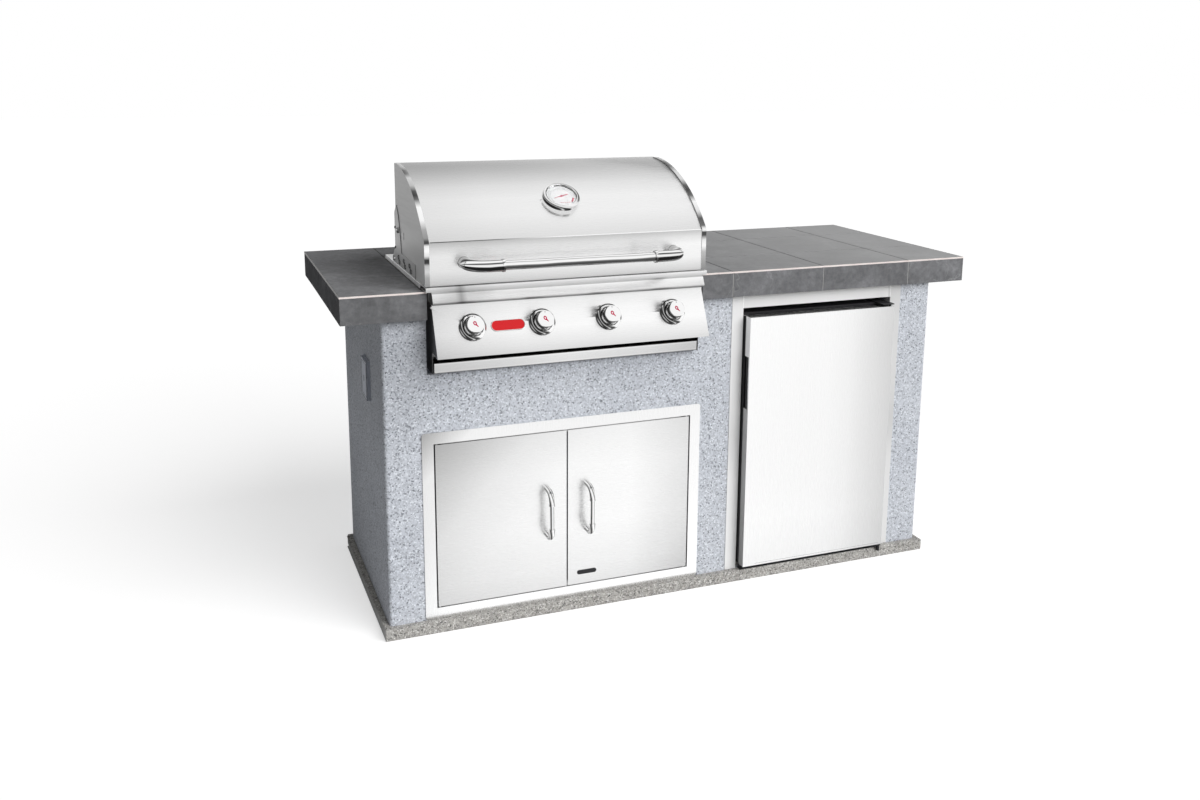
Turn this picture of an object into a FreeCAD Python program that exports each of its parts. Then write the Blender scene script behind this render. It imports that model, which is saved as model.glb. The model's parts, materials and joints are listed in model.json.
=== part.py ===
"""An outdoor kitchen island: stucco base, tiled counter, built-in gas grill, doors and refrigerator.

The island's own frame has its origin on the floor at the middle of the base. X runs to the right seen
from the cook's side, Y to the back and Z up. All lengths are millimetres and all angles are degrees.
"""
import FreeCAD, Part
import math
import os
import Sketcher

Vector = FreeCAD.Vector
X_AXIS = Vector(1, 0, 0)
Y_AXIS = Vector(0, 1, 0)
Z_AXIS = Vector(0, 0, 1)

# Driving dimensions: each size that can be set by itself, written once.
SIZES = {
    # Base and stucco walls
    "base_width": 1737,
    "base_depth": 654,
    "wall_thick": 16,
    "corner_round": 10,
    "corner_return": 44,
    "plinth_height": 35,
    "plinth_proud": 22,
    "plinth_side_proud": 16,
    # Welded frame inside the walls
    "tube_side": 38,
    "rail_height": 20,
    "divider_middle": 118,
    "divider_thick": 12,
    # Tiled counter
    "counter_height": 978,
    "counter_thick": 76,
    "front_overhang": 22,
    "side_overhang": 106.5,
    "back_overhang": 87,
    "slab_thick": 30,
    "tile_thick": 9,
    "tile_pitch": 305,
    "tile_joint_x": 158,
    "tile_joint_y": -104,
    "grout_gap": 3,
    "grout_recess": 1.5,
    # Cut-out for the grill
    "grill_middle": -344.5,
    "notch_width": 805.4,
    "sill_gap": 8.2,
    "notch_back": 200,
    # Grill body
    "grill_sheet": 2,
    "fire_half": 390,
    "fire_front": -302,
    "fire_back": 28,
    "rail_side": 18,
    "deck_thick": 12,
    "deck_back": 206,
    "deck_inset": 16,
    "ledge_front": -363.5,
    "nose_inset": 14.5,
    "nose_drop": 16.5,
    "nose_reach": 16.5,
    "nose_height": 20.5,
    "nose_curl": 9,
    # Leaning control panel
    "panel_side": 3,
    "panel_top_y": -361.3,
    "panel_drop": 43.3,
    "panel_tilt": 25.3,
    "panel_slope": 138,
    "panel_lip": 16,
    "knob_pitch": 193.5,
    "knob_down": 58.5,
    "knob_radius": 24.5,
    "knob_reach": 38.5,
    "knob_gap": 6,
    "bezel_radius": 37.5,
    "bezel_height": 12,
    "stem_radius": 4,
    "stem_reach": 24,
    "stem_depth": 30,
    "push_travel": 4,
    "running_gap": 0.05,
    "stem_hole_gap": 2,
    "valve_radius": 11,
    "pipe_radius": 10,
    "valve_depth": 55,
    # Burners, heat plates and grates
    "burner_drop": 128,
    "burner_radius": 20,
    "burner_neck": 13,
    "tamer_lift": 40,
    "tamer_half": 80,
    "tamer_rise": 30,
    "tamer_sheet": 1.5,
    "grate_lift": 60,
    "grate_thick": 10,
    "grate_bar": 7,
    "grate_slot": 12,
    "grate_gap": 2,
    "shelf_reach": 14,
    # Drip tray
    "tray_side_gap": 3,
    "tray_drop": 224,
    "tray_height": 27,
    "tray_clear": 6,
    "tray_face_rise": 4,
    "tray_front": -350.7,
    "tray_back": 20,
    "tray_sheet": 1.5,
    # Hood
    "hood_side": 16,
    "hood_front": -352.6,
    "hood_back": 40,
    "hood_seat_gap": 1.6,
    "apron_height": 117.5,
    "arch_radius": 490,
    "arch_middle_y": 23.5,
    "hood_sheet": 1.5,
    "hood_side_sheet": 3,
    "hood_wall_gap": 22,
    "band_width": 11.5,
    "band_proud": 2,
    "pivot_y": -2,
    "pivot_lift": 102.4,
    "pivot_bolt": 5,
    "ear_gap": 0.5,
    "ear_sheet": 1.5,
    "ear_front": 230,
    "ear_back": 97,
    "ear_strip": 41,
    "ear_foot": 12,
    "ear_rear": 52,
    "ear_neck": 20,
    "ear_rise": 46,
    "vent_length": 22,
    "vent_radius": 4,
    "vent_pitch": 81,
    "vent_high_pitch": 78,
    "vent_start": 171,
    "vent_shift": 17,
    "vent_low": 11.5,
    "vent_row": 13,
    # Hood handle
    "bar_radius": 12.5,
    "bar_half": 303.5,
    "bar_collar": 217,
    "bar_standoff": 80,
    "bar_elbow": 15.5,
    "bar_bend": 52,
    "bar_lift": 60.4,
    # Hood thermometer
    "gauge_angle": 35,
    "gauge_radius": 52.5,
    "gauge_height": 20,
    "gauge_face": 12,
    "gauge_rim": 9.5,
    "probe_radius": 4,
    "probe_length": 90,
    "needle_length": 30,
    # Storage doors
    "frame_left": -767.2,
    "frame_right": 69.4,
    "frame_top": 581.7,
    "frame_border": 32.5,
    "frame_sheet": 2,
    "frame_proud": 3,
    "frame_round": 8,
    "sleeve_depth": 40,
    "sleeve_gap": 2,
    "door_thick": 14,
    "door_side_gap": 4,
    "door_end_gap": 3,
    "door_middle_gap": 4,
    "door_pivot_inset": 6,
    "pin_radius": 3,
    "pin_bite": 10,
    "stop_width": 12,
    "rest_gap": 0.3,
    "pull_bar": 6,
    "pull_half": 69.3,
    "pull_collar": 37,
    "pull_standoff": 45,
    "pull_elbow": 8,
    "pull_bend": 29,
    "pull_from_edge": 59,
    "pull_height": 308.2,
    # Refrigerator surround
    "surround_left": 167.1,
    "surround_right": 758.5,
    "surround_side": 37.5,
    "surround_top": 40.3,
    "surround_sheet": 2,
    "surround_return": 30,
    # Refrigerator
    "fridge_left_gap": 6.4,
    "fridge_right_gap": 10,
    "fridge_front": -317,
    "fridge_depth": 470,
    "fridge_top_gap": 16.7,
    "fridge_foot": 15,
    "fridge_wall": 30,
    "liner_wall": 3,
    "step_depth": 150,
    "step_height": 200,
    "fridge_door_front": -367,
    "fridge_door_thick": 42,
    "fridge_door_lift": 3,
    "fridge_door_drop": 5,
    "door_skin": 1.5,
    "gasket_inset": 18,
    "gasket_width": 14,
    "fridge_pivot_inset": 10,
    "fridge_pin": 4,
    "hinge_sheet": 3,
    "grip_drop": 288,
    "grip_height": 161,
    "grip_depth": 20,
    "grip_width": 16,
    "rib_side": 8,
    "shelf_thick": 6,
    "dial_radius": 18,
    "compressor_radius": 58,
    "compressor_height": 150,
    # Outlet on the left wall
    "outlet_middle_y": -95,
    "outlet_middle_z": 688.7,
    "outlet_width": 88,
    "outlet_height": 116.5,
    "outlet_plate": 4,
    "outlet_lid": 7,
    "outlet_box_width": 60,
    "outlet_box_height": 96,
    "outlet_box_depth": 48,
}


class Size:
    """A length or angle worked out from the sheet: its formula and its present value."""

    def __init__(self, formula, value):
        self.formula = formula
        self.value = value

    @staticmethod
    def of(thing):
        return thing if isinstance(thing, Size) else Size(repr(thing), float(thing))

    def joined(self, sign, other, value):
        return Size("(%s %s %s)" % (self.formula, sign, other.formula), value)

    def __add__(self, other):
        other = Size.of(other)
        return self.joined("+", other, self.value + other.value)

    def __sub__(self, other):
        other = Size.of(other)
        return self.joined("-", other, self.value - other.value)

    def __mul__(self, other):
        other = Size.of(other)
        return self.joined("*", other, self.value * other.value)

    def __truediv__(self, other):
        other = Size.of(other)
        return self.joined("/", other, self.value / other.value)

    def __radd__(self, other):
        return Size.of(other) + self

    def __rsub__(self, other):
        return Size.of(other) - self

    def __rmul__(self, other):
        return Size.of(other) * self

    def __neg__(self):
        return Size("(-%s)" % self.formula, -self.value)


def sine(angle):
    return Size("sin(%s)" % angle.formula, math.sin(math.radians(angle.value)))


def cosine(angle):
    return Size("cos(%s)" % angle.formula, math.cos(math.radians(angle.value)))


def root(square):
    return Size("sqrt(%s)" % square.formula, math.sqrt(square.value))


class Driving:
    """The driving dimensions by name."""


DOC = FreeCAD.newDocument("OutdoorKitchenIsland")
SHEET = DOC.addObject("Spreadsheet::Sheet", "Sizes")
D = Driving()
for row, (name, number) in enumerate(SIZES.items(), start=1):
    SHEET.set("A%d" % row, name)
    SHEET.set("B%d" % row, repr(number))
    SHEET.setAlias("B%d" % row, name)
    setattr(D, name, Size("Sizes." + name, float(number)))
DOC.recompute()

NODES = []


def node(label, thing):
    """Names a finished sub-part, which is written to a file of that name."""
    thing.Label = label
    NODES.append(thing)
    return thing


def bind(thing, prop, size):
    size = Size.of(size)
    thing.setExpression(prop, size.formula)


def place(thing, x, y, z, rotation=None):
    if rotation is not None:
        thing.Placement = FreeCAD.Placement(Vector(), rotation)
    for letter, size in (("x", x), ("y", y), ("z", z)):
        bind(thing, "Placement.Base." + letter, size)
    return thing


def box(name, x, y, z):
    """A block between the low and high size given for each axis."""
    thing = DOC.addObject("Part::Box", name)
    for prop, (low, high) in (("Length", x), ("Width", y), ("Height", z)):
        bind(thing, prop, Size.of(high) - low)
    return place(thing, x[0], y[0], z[0])


TURNS = {
    "x": FreeCAD.Rotation(Y_AXIS, 90),
    "y": FreeCAD.Rotation(X_AXIS, -90),
    "z": FreeCAD.Rotation(),
}


def cylinder(name, radius, length, start, axis="z"):
    thing = DOC.addObject("Part::Cylinder", name)
    bind(thing, "Radius", radius)
    bind(thing, "Height", length)
    return place(thing, *start, rotation=TURNS[axis])


def cut(name, base, *tools):
    tool = tools[0] if len(tools) == 1 else group(name + "_tools", *tools)
    thing = DOC.addObject("Part::Cut", name)
    thing.Base = base
    thing.Tool = tool
    return thing


def common(name, first, second):
    thing = DOC.addObject("Part::Common", name)
    thing.Base = first
    thing.Tool = second
    return thing


def fuse(name, *parts):
    thing = DOC.addObject("Part::MultiFuse", name)
    thing.Shapes = list(parts)
    thing.Refine = True
    return thing


def group(name, *parts):
    """Separate solids kept together in one sub-part."""
    thing = DOC.addObject("Part::Compound", name)
    thing.Links = list(parts)
    return thing


def mirror(name, source, middle):
    """The same piece on the other side of the plane X = middle."""
    thing = DOC.addObject("Part::Mirroring", name)
    thing.Source = source
    thing.Normal = X_AXIS
    bind(thing, "Base.x", middle)
    return thing


def leaned(name, thing, x, y, z, angle):
    """Turns a piece made on the Z axis about X by an angle, then sets it at a point."""
    thing.Placement = FreeCAD.Placement(Vector(), FreeCAD.Rotation(X_AXIS, angle.value))
    thing.Label = name
    for letter, size in (("x", x), ("y", y), ("z", z)):
        bind(thing, "Placement.Base." + letter, size)
    bind(thing, "Placement.Rotation.Angle", angle)
    return thing


def plane_of(body, role):
    return [item for item in body.Origin.OriginFeatures if item.Role == role][0]


def new_sketch(body, name, role):
    sketch = body.newObject("Sketcher::SketchObject", name)
    sketch.AttachmentSupport = [(plane_of(body, role), "")]
    sketch.MapMode = "FlatFace"
    return sketch


def pin_point(sketch, line, x, y):
    """Sets the start of a sketch line at a place given by two sizes."""
    for kind, size in (("DistanceX", Size.of(x)), ("DistanceY", Size.of(y))):
        constraint = Sketcher.Constraint(kind, -1, 1, line, 1, size.value)
        index = sketch.addConstraint(constraint)
        sketch.setExpression("Constraints[%d]" % index, size.formula)


def draw_outline(sketch, points):
    """A closed outline of straight lines through the points."""
    first = sketch.GeometryCount
    count = len(points)
    corners = [Vector(Size.of(x).value, Size.of(y).value, 0) for x, y in points]
    for i in range(count):
        sketch.addGeometry(Part.LineSegment(corners[i], corners[(i + 1) % count]), False)
    for i in range(count):
        following = first + (i + 1) % count
        sketch.addConstraint(Sketcher.Constraint("Coincident", first + i, 2, following, 1))
    for i, (x, y) in enumerate(points):
        pin_point(sketch, first + i, x, y)


def draw_rounded(sketch, x, y, radius):
    """A rectangle with four equal round corners."""
    (x0, x1), (y0, y1) = [(Size.of(low), Size.of(high)) for low, high in (x, y)]
    r = radius.value
    low_x, high_x, low_y, high_y = x0.value, x1.value, y0.value, y1.value
    first = sketch.GeometryCount
    ends = [
        (Vector(low_x + r, low_y, 0), Vector(high_x - r, low_y, 0)),
        (Vector(high_x, low_y + r, 0), Vector(high_x, high_y - r, 0)),
        (Vector(high_x - r, high_y, 0), Vector(low_x + r, high_y, 0)),
        (Vector(low_x, high_y - r, 0), Vector(low_x, low_y + r, 0)),
    ]
    middles = [
        Vector(high_x - r, low_y + r, 0),
        Vector(high_x - r, high_y - r, 0),
        Vector(low_x + r, high_y - r, 0),
        Vector(low_x + r, low_y + r, 0),
    ]
    for start, end in ends:
        sketch.addGeometry(Part.LineSegment(start, end), False)
    quarter = math.pi / 2
    for i, middle in enumerate(middles):
        circle = Part.Circle(middle, Z_AXIS, r)
        sketch.addGeometry(Part.ArcOfCircle(circle, (i - 1) * quarter, i * quarter), False)
    for i in range(4):
        arc = first + 4 + i
        sketch.addConstraint(Sketcher.Constraint("Tangent", first + i, 2, arc, 1))
        sketch.addConstraint(Sketcher.Constraint("Tangent", arc, 2, first + (i + 1) % 4, 1))
        direction = "Horizontal" if i % 2 == 0 else "Vertical"
        sketch.addConstraint(Sketcher.Constraint(direction, first + i))
    index = sketch.addConstraint(Sketcher.Constraint("Radius", first + 4, r))
    sketch.setExpression("Constraints[%d]" % index, radius.formula)
    for i in range(1, 4):
        sketch.addConstraint(Sketcher.Constraint("Equal", first + 4, first + 4 + i))
    sides = (("DistanceY", 0, y0), ("DistanceX", 1, x1), ("DistanceY", 2, y1), ("DistanceX", 3, x0))
    for kind, side, size in sides:
        index = sketch.addConstraint(Sketcher.Constraint(kind, -1, 1, first + side, 1, size.value))
        sketch.setExpression("Constraints[%d]" % index, size.formula)


def padded(name, role, outlines, length, both_ways=False, rounded=()):
    """A body padded from closed outlines: the first is the edge and the others are holes in it."""
    body = DOC.addObject("PartDesign::Body", name)
    sketch = new_sketch(body, name + "_outline", role)
    for outline in outlines:
        draw_outline(sketch, outline)
    for x, y, radius in rounded:
        draw_rounded(sketch, x, y, radius)
    pad = body.newObject("PartDesign::Pad", name + "_pad")
    pad.Profile = sketch
    bind(pad, "Length", length)
    pad.Midplane = both_ways
    return body


def side_profile(name, points, half_width, middle):
    """A part of constant section: an outline in Y and Z, padded both ways from X = middle."""
    body = padded(name, "YZ_Plane", [points], half_width * 2, both_ways=True)
    return place(body, middle, 0, 0)


def turned(name, points):
    """A turned part about the Z axis: points are radius and height."""
    body = DOC.addObject("PartDesign::Body", name)
    sketch = new_sketch(body, name + "_section", "XZ_Plane")
    draw_outline(sketch, points)
    solid = body.newObject("PartDesign::Revolution", name + "_turned")
    solid.Profile = sketch
    solid.ReferenceAxis = (sketch, ["V_Axis"])
    solid.Angle = 360
    return body


def rectangle(x0, x1, y0, y1):
    return [(x0, y0), (x1, y0), (x1, y1), (x0, y1)]


def row_from_middle(count, pitch, middle):
    """Places spaced evenly about a middle."""
    return [middle + pitch * (i - (count - 1) / 2) for i in range(count)]


# Places that several sub-parts share.
BASE_X = D.base_width / 2
BASE_Y = D.base_depth / 2
UNDER_COUNTER = D.counter_height - D.counter_thick
COUNTER_X = BASE_X + D.side_overhang
COUNTER_FRONT = -BASE_Y - D.front_overhang
COUNTER_BACK = BASE_Y + D.back_overhang
FLOOR_TOP = D.plinth_height
NOTCH_LEFT = D.grill_middle - D.notch_width / 2
NOTCH_RIGHT = D.grill_middle + D.notch_width / 2
RAIL_TOP = D.counter_height + D.deck_thick
RAIL_HALF = D.fire_half + D.rail_side
NOSE_HALF = RAIL_HALF - D.nose_inset
PANEL_HALF = D.fire_half + D.panel_side
TRAY_HALF = D.fire_half - D.tray_side_gap
HOOD_HALF = D.fire_half + D.hood_side
TRAY_BOTTOM = D.counter_height - D.tray_drop
TRAY_TOP = TRAY_BOTTOM + D.tray_height
NOTCH_SILL = TRAY_BOTTOM - D.sill_gap
BURNER_Z = D.counter_height - D.burner_drop
TAMER_Z = BURNER_Z + D.tamer_lift
GRATE_Z = TAMER_Z + D.grate_lift
PANEL_TOP_Z = D.counter_height - D.panel_drop
HOOD_BOTTOM = RAIL_TOP + D.hood_seat_gap
HOOD_SEAM = HOOD_BOTTOM + D.apron_height
PIVOT_Z = HOOD_BOTTOM + D.pivot_lift
ARCH_RUN = D.arch_middle_y - D.hood_front
ARCH_Z = HOOD_SEAM - root(D.arch_radius * D.arch_radius - ARCH_RUN * ARCH_RUN)
DOOR_LEFT = D.frame_left + D.frame_border
DOOR_RIGHT = D.frame_right - D.frame_border
DOOR_BOTTOM = D.plinth_height + D.frame_border
DOOR_TOP = D.frame_top - D.frame_border
SLEEVE_OUT = D.frame_sheet + D.sleeve_gap
FRIDGE_OPEN_LEFT = D.surround_left + D.surround_side
FRIDGE_OPEN_RIGHT = D.surround_right - D.surround_side
FRIDGE_OPEN_TOP = UNDER_COUNTER - D.surround_top
SURROUND_OUT = D.surround_sheet + D.sleeve_gap
FRIDGE_LEFT = FRIDGE_OPEN_LEFT + D.fridge_left_gap
FRIDGE_RIGHT = FRIDGE_OPEN_RIGHT - D.fridge_right_gap
FRIDGE_MIDDLE = (FRIDGE_LEFT + FRIDGE_RIGHT) / 2
FRIDGE_BOTTOM = D.plinth_height + D.fridge_foot
FRIDGE_TOP = FRIDGE_OPEN_TOP - D.fridge_top_gap
FRIDGE_TALL = FRIDGE_TOP - FRIDGE_BOTTOM
FRIDGE_BACK = D.fridge_front + D.fridge_depth
KNOB_PLACES = row_from_middle(4, D.knob_pitch, D.grill_middle)


def base_shell():
    """The stucco walls, the plinth strips round them and the boards inside."""
    inner_x = BASE_X - D.wall_thick
    inner_y = -BASE_Y + D.wall_thick
    return_y = -BASE_Y + D.corner_return
    outline = [
        (-BASE_X, -BASE_Y),
        (BASE_X, -BASE_Y),
        (BASE_X, return_y),
        (inner_x, return_y),
        (inner_x, inner_y),
        (-inner_x, inner_y),
        (-inner_x, return_y),
        (-BASE_X, return_y),
    ]
    wall = padded("front_wall_body", "XY_Plane", [outline], UNDER_COUNTER)
    DOC.recompute()
    round_vertical_corners(wall, -BASE_Y, D.corner_round)
    openings = new_sketch(wall, "front_wall_openings", "XZ_Plane")
    above = UNDER_COUNTER + D.wall_thick
    draw_outline(openings, rectangle(NOTCH_LEFT, NOTCH_RIGHT, NOTCH_SILL, above))
    doors_x = (DOOR_LEFT - SLEEVE_OUT, DOOR_RIGHT + SLEEVE_OUT)
    doors_z = (DOOR_BOTTOM - SLEEVE_OUT, DOOR_TOP + SLEEVE_OUT)
    draw_outline(openings, rectangle(*doors_x, *doors_z))
    fridge_x = (FRIDGE_OPEN_LEFT - SURROUND_OUT, FRIDGE_OPEN_RIGHT + SURROUND_OUT)
    fridge_z = (FLOOR_TOP, FRIDGE_OPEN_TOP + SURROUND_OUT)
    draw_outline(openings, rectangle(*fridge_x, *fridge_z))
    pocket = wall.newObject("PartDesign::Pocket", "front_wall_pocket")
    pocket.Profile = openings
    pocket.Type = "ThroughAll"
    pocket.Midplane = True
    node("front_wall", wall)

    back_y = BASE_Y - D.wall_thick
    side_y = (return_y, back_y)
    side_z = (0, UNDER_COUNTER)
    blank = box("left_wall_blank", (-BASE_X, -inner_x), side_y, side_z)
    half_y = D.outlet_box_width / 2 + D.sleeve_gap / 2
    half_z = D.outlet_box_height / 2 + D.sleeve_gap / 2
    hole_y = (D.outlet_middle_y - half_y, D.outlet_middle_y + half_y)
    hole_z = (D.outlet_middle_z - half_z, D.outlet_middle_z + half_z)
    hole = box("left_wall_hole", (-BASE_X - 1, -inner_x + 1), hole_y, hole_z)
    node("left_wall", cut("left_wall_cut", blank, hole))
    node("right_wall", box("right_wall_board", (inner_x, BASE_X), side_y, side_z))
    node("rear_wall", box("rear_wall_board", (-BASE_X, BASE_X), (back_y, BASE_Y), side_z))
    plinth_strips()

    board_x = (-inner_x, inner_x)
    board = box("floor_board", board_x, (inner_y, back_y), (D.rail_height, FLOOR_TOP))
    node("floor_panel", cut("floor_panel_cut", board, *post_blocks("floor_notch", 1)))
    half = D.divider_thick / 2
    divider_x = (D.divider_middle - half, D.divider_middle + half)
    tube = D.tube_side
    board = box(
        "divider_board", divider_x, (inner_y + tube, back_y - tube), (FLOOR_TOP, UNDER_COUNTER - tube)
    )
    node("bay_divider", board)


def round_vertical_corners(body, y, radius):
    """Rounds the two outer upright edges at the front of a wall."""
    base = body.Tip
    names = []
    for index, edge in enumerate(base.Shape.Edges, start=1):
        span = edge.BoundBox
        upright = span.ZLength > span.XLength + span.YLength
        if upright and abs(span.YMin - y.value) < 0.01 and abs(span.YMax - y.value) < 0.01:
            names.append("Edge%d" % index)
    fillet = body.newObject("PartDesign::Fillet", body.Name + "_corners")
    fillet.Base = (base, names)
    bind(fillet, "Radius", radius)


def plinth_strips():
    """Four strips round the foot of the walls, the front one cut to the walls' round corners."""
    out_x = BASE_X + D.plinth_side_proud
    out_y = BASE_Y + D.plinth_proud
    height = (0, D.plinth_height)
    front_blank = box("plinth_front_blank", (-out_x, out_x), (-out_y, -BASE_Y + D.corner_round), height)
    body = DOC.addObject("PartDesign::Body", "plinth_footprint")
    sketch = new_sketch(body, "plinth_footprint_outline", "XY_Plane")
    draw_rounded(sketch, (-BASE_X, BASE_X), (-BASE_Y, BASE_Y), D.corner_round)
    pad = body.newObject("PartDesign::Pad", "plinth_footprint_pad")
    pad.Profile = sketch
    bind(pad, "Length", D.plinth_height * 2)
    pad.Midplane = True
    front = cut("plinth_front", front_blank, body)
    start = -BASE_Y + D.corner_round
    left = box("plinth_left", (-out_x, -BASE_X), (start, BASE_Y), height)
    right = box("plinth_right", (BASE_X, out_x), (start, BASE_Y), height)
    back = box("plinth_back", (-out_x, out_x), (BASE_Y, out_y), height)
    node("plinth_strips", group("plinth_ring", front, left, right, back))


def post_places():
    """The low corner of each upright of the frame, in the order left to right."""
    tube = D.tube_side
    left = -BASE_X + D.wall_thick
    right = BASE_X - D.wall_thick - tube
    front = -BASE_Y + D.wall_thick
    back = BASE_Y - D.wall_thick - tube
    middle = D.divider_middle - tube / 2
    return [(x, y) for x in (left, middle, right) for y in (front, back)]


def post_blocks(name, gap):
    """Blocks where the uprights stand, wider by a gap all round."""
    tube = D.tube_side
    blocks = []
    for i, (x, y) in enumerate(post_places()):
        wide = (x - gap, x + tube + gap)
        deep = (y - gap, y + tube + gap)
        blocks.append(box("%s_%d" % (name, i), wide, deep, (D.rail_height - gap, UNDER_COUNTER)))
    return blocks


def steel_frame():
    """Welded tubes: floor rails, uprights, and rails under the counter with a gap for the grill."""
    tube = D.tube_side
    left = -BASE_X + D.wall_thick
    right = BASE_X - D.wall_thick
    front = -BASE_Y + D.wall_thick
    back = BASE_Y - D.wall_thick
    low = (0, D.rail_height)
    top = (UNDER_COUNTER - tube, UNDER_COUNTER)
    parts = post_blocks("post", 0)
    parts.append(box("rail_front", (left, right), (front, front + tube), low))
    parts.append(box("rail_back", (left, right), (back - tube, back), low))
    middle = D.divider_middle - tube / 2
    cross = (-tube / 2, tube / 2)
    ends = (("left", (left, left + tube)), ("centre", cross), ("right", (right - tube, right)))
    for label, wide in ends:
        parts.append(box("rail_" + label, wide, (front, back), low))
    parts.append(box("top_back", (left, right), (back - tube, back), top))
    parts.append(box("top_left", (left, left + tube), (front, back), top))
    parts.append(box("top_right", (right - tube, right), (front, back), top))
    parts.append(box("top_middle", (middle, middle + tube), (front, back), top))
    parts.append(box("top_front", (middle, right), (front, front + tube), top))
    node("steel_frame", fuse("frame_weld", *parts))


def notch_block(name, low, gap=0):
    wide = (NOTCH_LEFT + gap, NOTCH_RIGHT - gap)
    return box(name, wide, (COUNTER_FRONT - 1, D.notch_back - gap), (low, D.counter_height + 1))


def spans(low, high, joints, gap):
    """The stretches of a course between its joints."""
    edges = [low] + joints + [high]
    pieces = []
    for i in range(len(edges) - 1):
        start = edges[i] + gap / 2 if i > 0 else edges[i]
        end = edges[i + 1] - gap / 2 if i < len(edges) - 2 else edges[i + 1]
        pieces.append((start, end))
    return pieces


def counter():
    """The counter's board, its top and edge tiles, the pale edge trim and the grout."""
    tile = D.tile_thick
    slab_top = D.counter_height - tile
    slab_x = (-COUNTER_X + tile, COUNTER_X - tile)
    slab_y = (COUNTER_FRONT + tile, COUNTER_BACK - tile)
    slab = box("counter_slab", slab_x, slab_y, (UNDER_COUNTER, slab_top))
    clear_x = BASE_X - D.wall_thick - D.tube_side
    clear_y = BASE_Y - D.wall_thick - D.tube_side
    hollow = box(
        "counter_hollow",
        (-clear_x, clear_x),
        (-clear_y, clear_y),
        (UNDER_COUNTER - 1, slab_top - D.slab_thick),
    )
    node(
        "counter_board",
        cut("counter_board_cut", slab, hollow, notch_block("counter_notch", UNDER_COUNTER - 1)),
    )

    joints_x = [D.tile_joint_x + D.tile_pitch * i for i in range(-3, 3)]
    joints_y = [D.tile_joint_y + D.tile_pitch * i for i in range(2)]
    columns = spans(-COUNTER_X + tile, COUNTER_X - tile, joints_x, D.grout_gap)
    rows = spans(COUNTER_FRONT + tile, COUNTER_BACK - tile, joints_y, D.grout_gap)
    notch = notch_block("tile_notch", UNDER_COUNTER - 2)
    tiles = []
    for i, column in enumerate(columns):
        for k, deep in enumerate(rows):
            name = "top_tile_%d_%d" % (i, k)
            plain = box(name, column, deep, (slab_top, D.counter_height))
            inside = NOTCH_LEFT.value <= column[0].value and column[1].value <= NOTCH_RIGHT.value
            if inside and deep[1].value <= D.notch_back.value:
                DOC.removeObject(plain.Name)
                continue
            touched = column[1].value > NOTCH_LEFT.value and column[0].value < NOTCH_RIGHT.value
            touched = touched and deep[0].value < D.notch_back.value
            tiles.append(cut(name + "_cut", plain, notch) if touched else plain)
    node("top_tiles", group("top_tile_set", *tiles))
    edge_tiles(joints_x, joints_y, slab_top)

    grout_x = (-COUNTER_X + tile, COUNTER_X - tile)
    grout_y = (COUNTER_FRONT + tile, COUNTER_BACK - tile)
    sheet = box("grout_sheet", grout_x, grout_y, (slab_top, D.counter_height - D.grout_recess))
    cover = group("grout_cover", *tiles)
    node("grout", cut("grout_cut", sheet, cover, notch_block("grout_notch", UNDER_COUNTER - 3)))


def edge_tiles(joints_x, joints_y, slab_top):
    """Tiles on the counter's four edges, under a pale trim strip along the top edges."""
    tile = D.tile_thick
    height = (UNDER_COUNTER, slab_top)
    strips = []
    whole_x = (-COUNTER_X, COUNTER_X)
    near = tile.value * 2
    front_joints = [x for x in joints_x if abs(x.value - NOTCH_LEFT.value) > near]
    front = (COUNTER_FRONT, COUNTER_FRONT + tile)
    rear = (COUNTER_BACK - tile, COUNTER_BACK)
    for side, deep, joints in (("front", front, front_joints), ("back", rear, joints_x)):
        for i, (start, end) in enumerate(spans(*whole_x, joints, D.grout_gap)):
            if side == "front" and start.value < NOTCH_RIGHT.value and end.value > NOTCH_LEFT.value:
                left_of_notch = start.value < NOTCH_LEFT.value
                right_of_notch = end.value > NOTCH_RIGHT.value
                if left_of_notch:
                    end = NOTCH_LEFT
                elif right_of_notch:
                    start = NOTCH_RIGHT
                else:
                    continue
            if end.value - start.value < tile.value / 2:
                continue
            strips.append(box("edge_%s_%d" % (side, i), (start, end), deep, height))
    side_parts = spans(COUNTER_FRONT + tile, COUNTER_BACK - tile, joints_y, D.grout_gap)
    ends = (("left", (-COUNTER_X, -COUNTER_X + tile)), ("right", (COUNTER_X - tile, COUNTER_X)))
    for side, wide in ends:
        for i, deep in enumerate(side_parts):
            strips.append(box("edge_%s_%d" % (side, i), wide, deep, height))
    node("edge_tiles", group("edge_tile_set", *strips))

    band = (slab_top, D.counter_height)
    outer = box("trim_outer", (-COUNTER_X, COUNTER_X), (COUNTER_FRONT, COUNTER_BACK), band)
    inner_x = (-COUNTER_X + tile, COUNTER_X - tile)
    inner_y = (COUNTER_FRONT + tile, COUNTER_BACK - tile)
    inner = box("trim_inner", inner_x, inner_y, (slab_top - 1, D.counter_height + 1))
    node("edge_trim", cut("edge_trim_cut", outer, inner, notch_block("trim_notch", UNDER_COUNTER - 4)))


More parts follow.
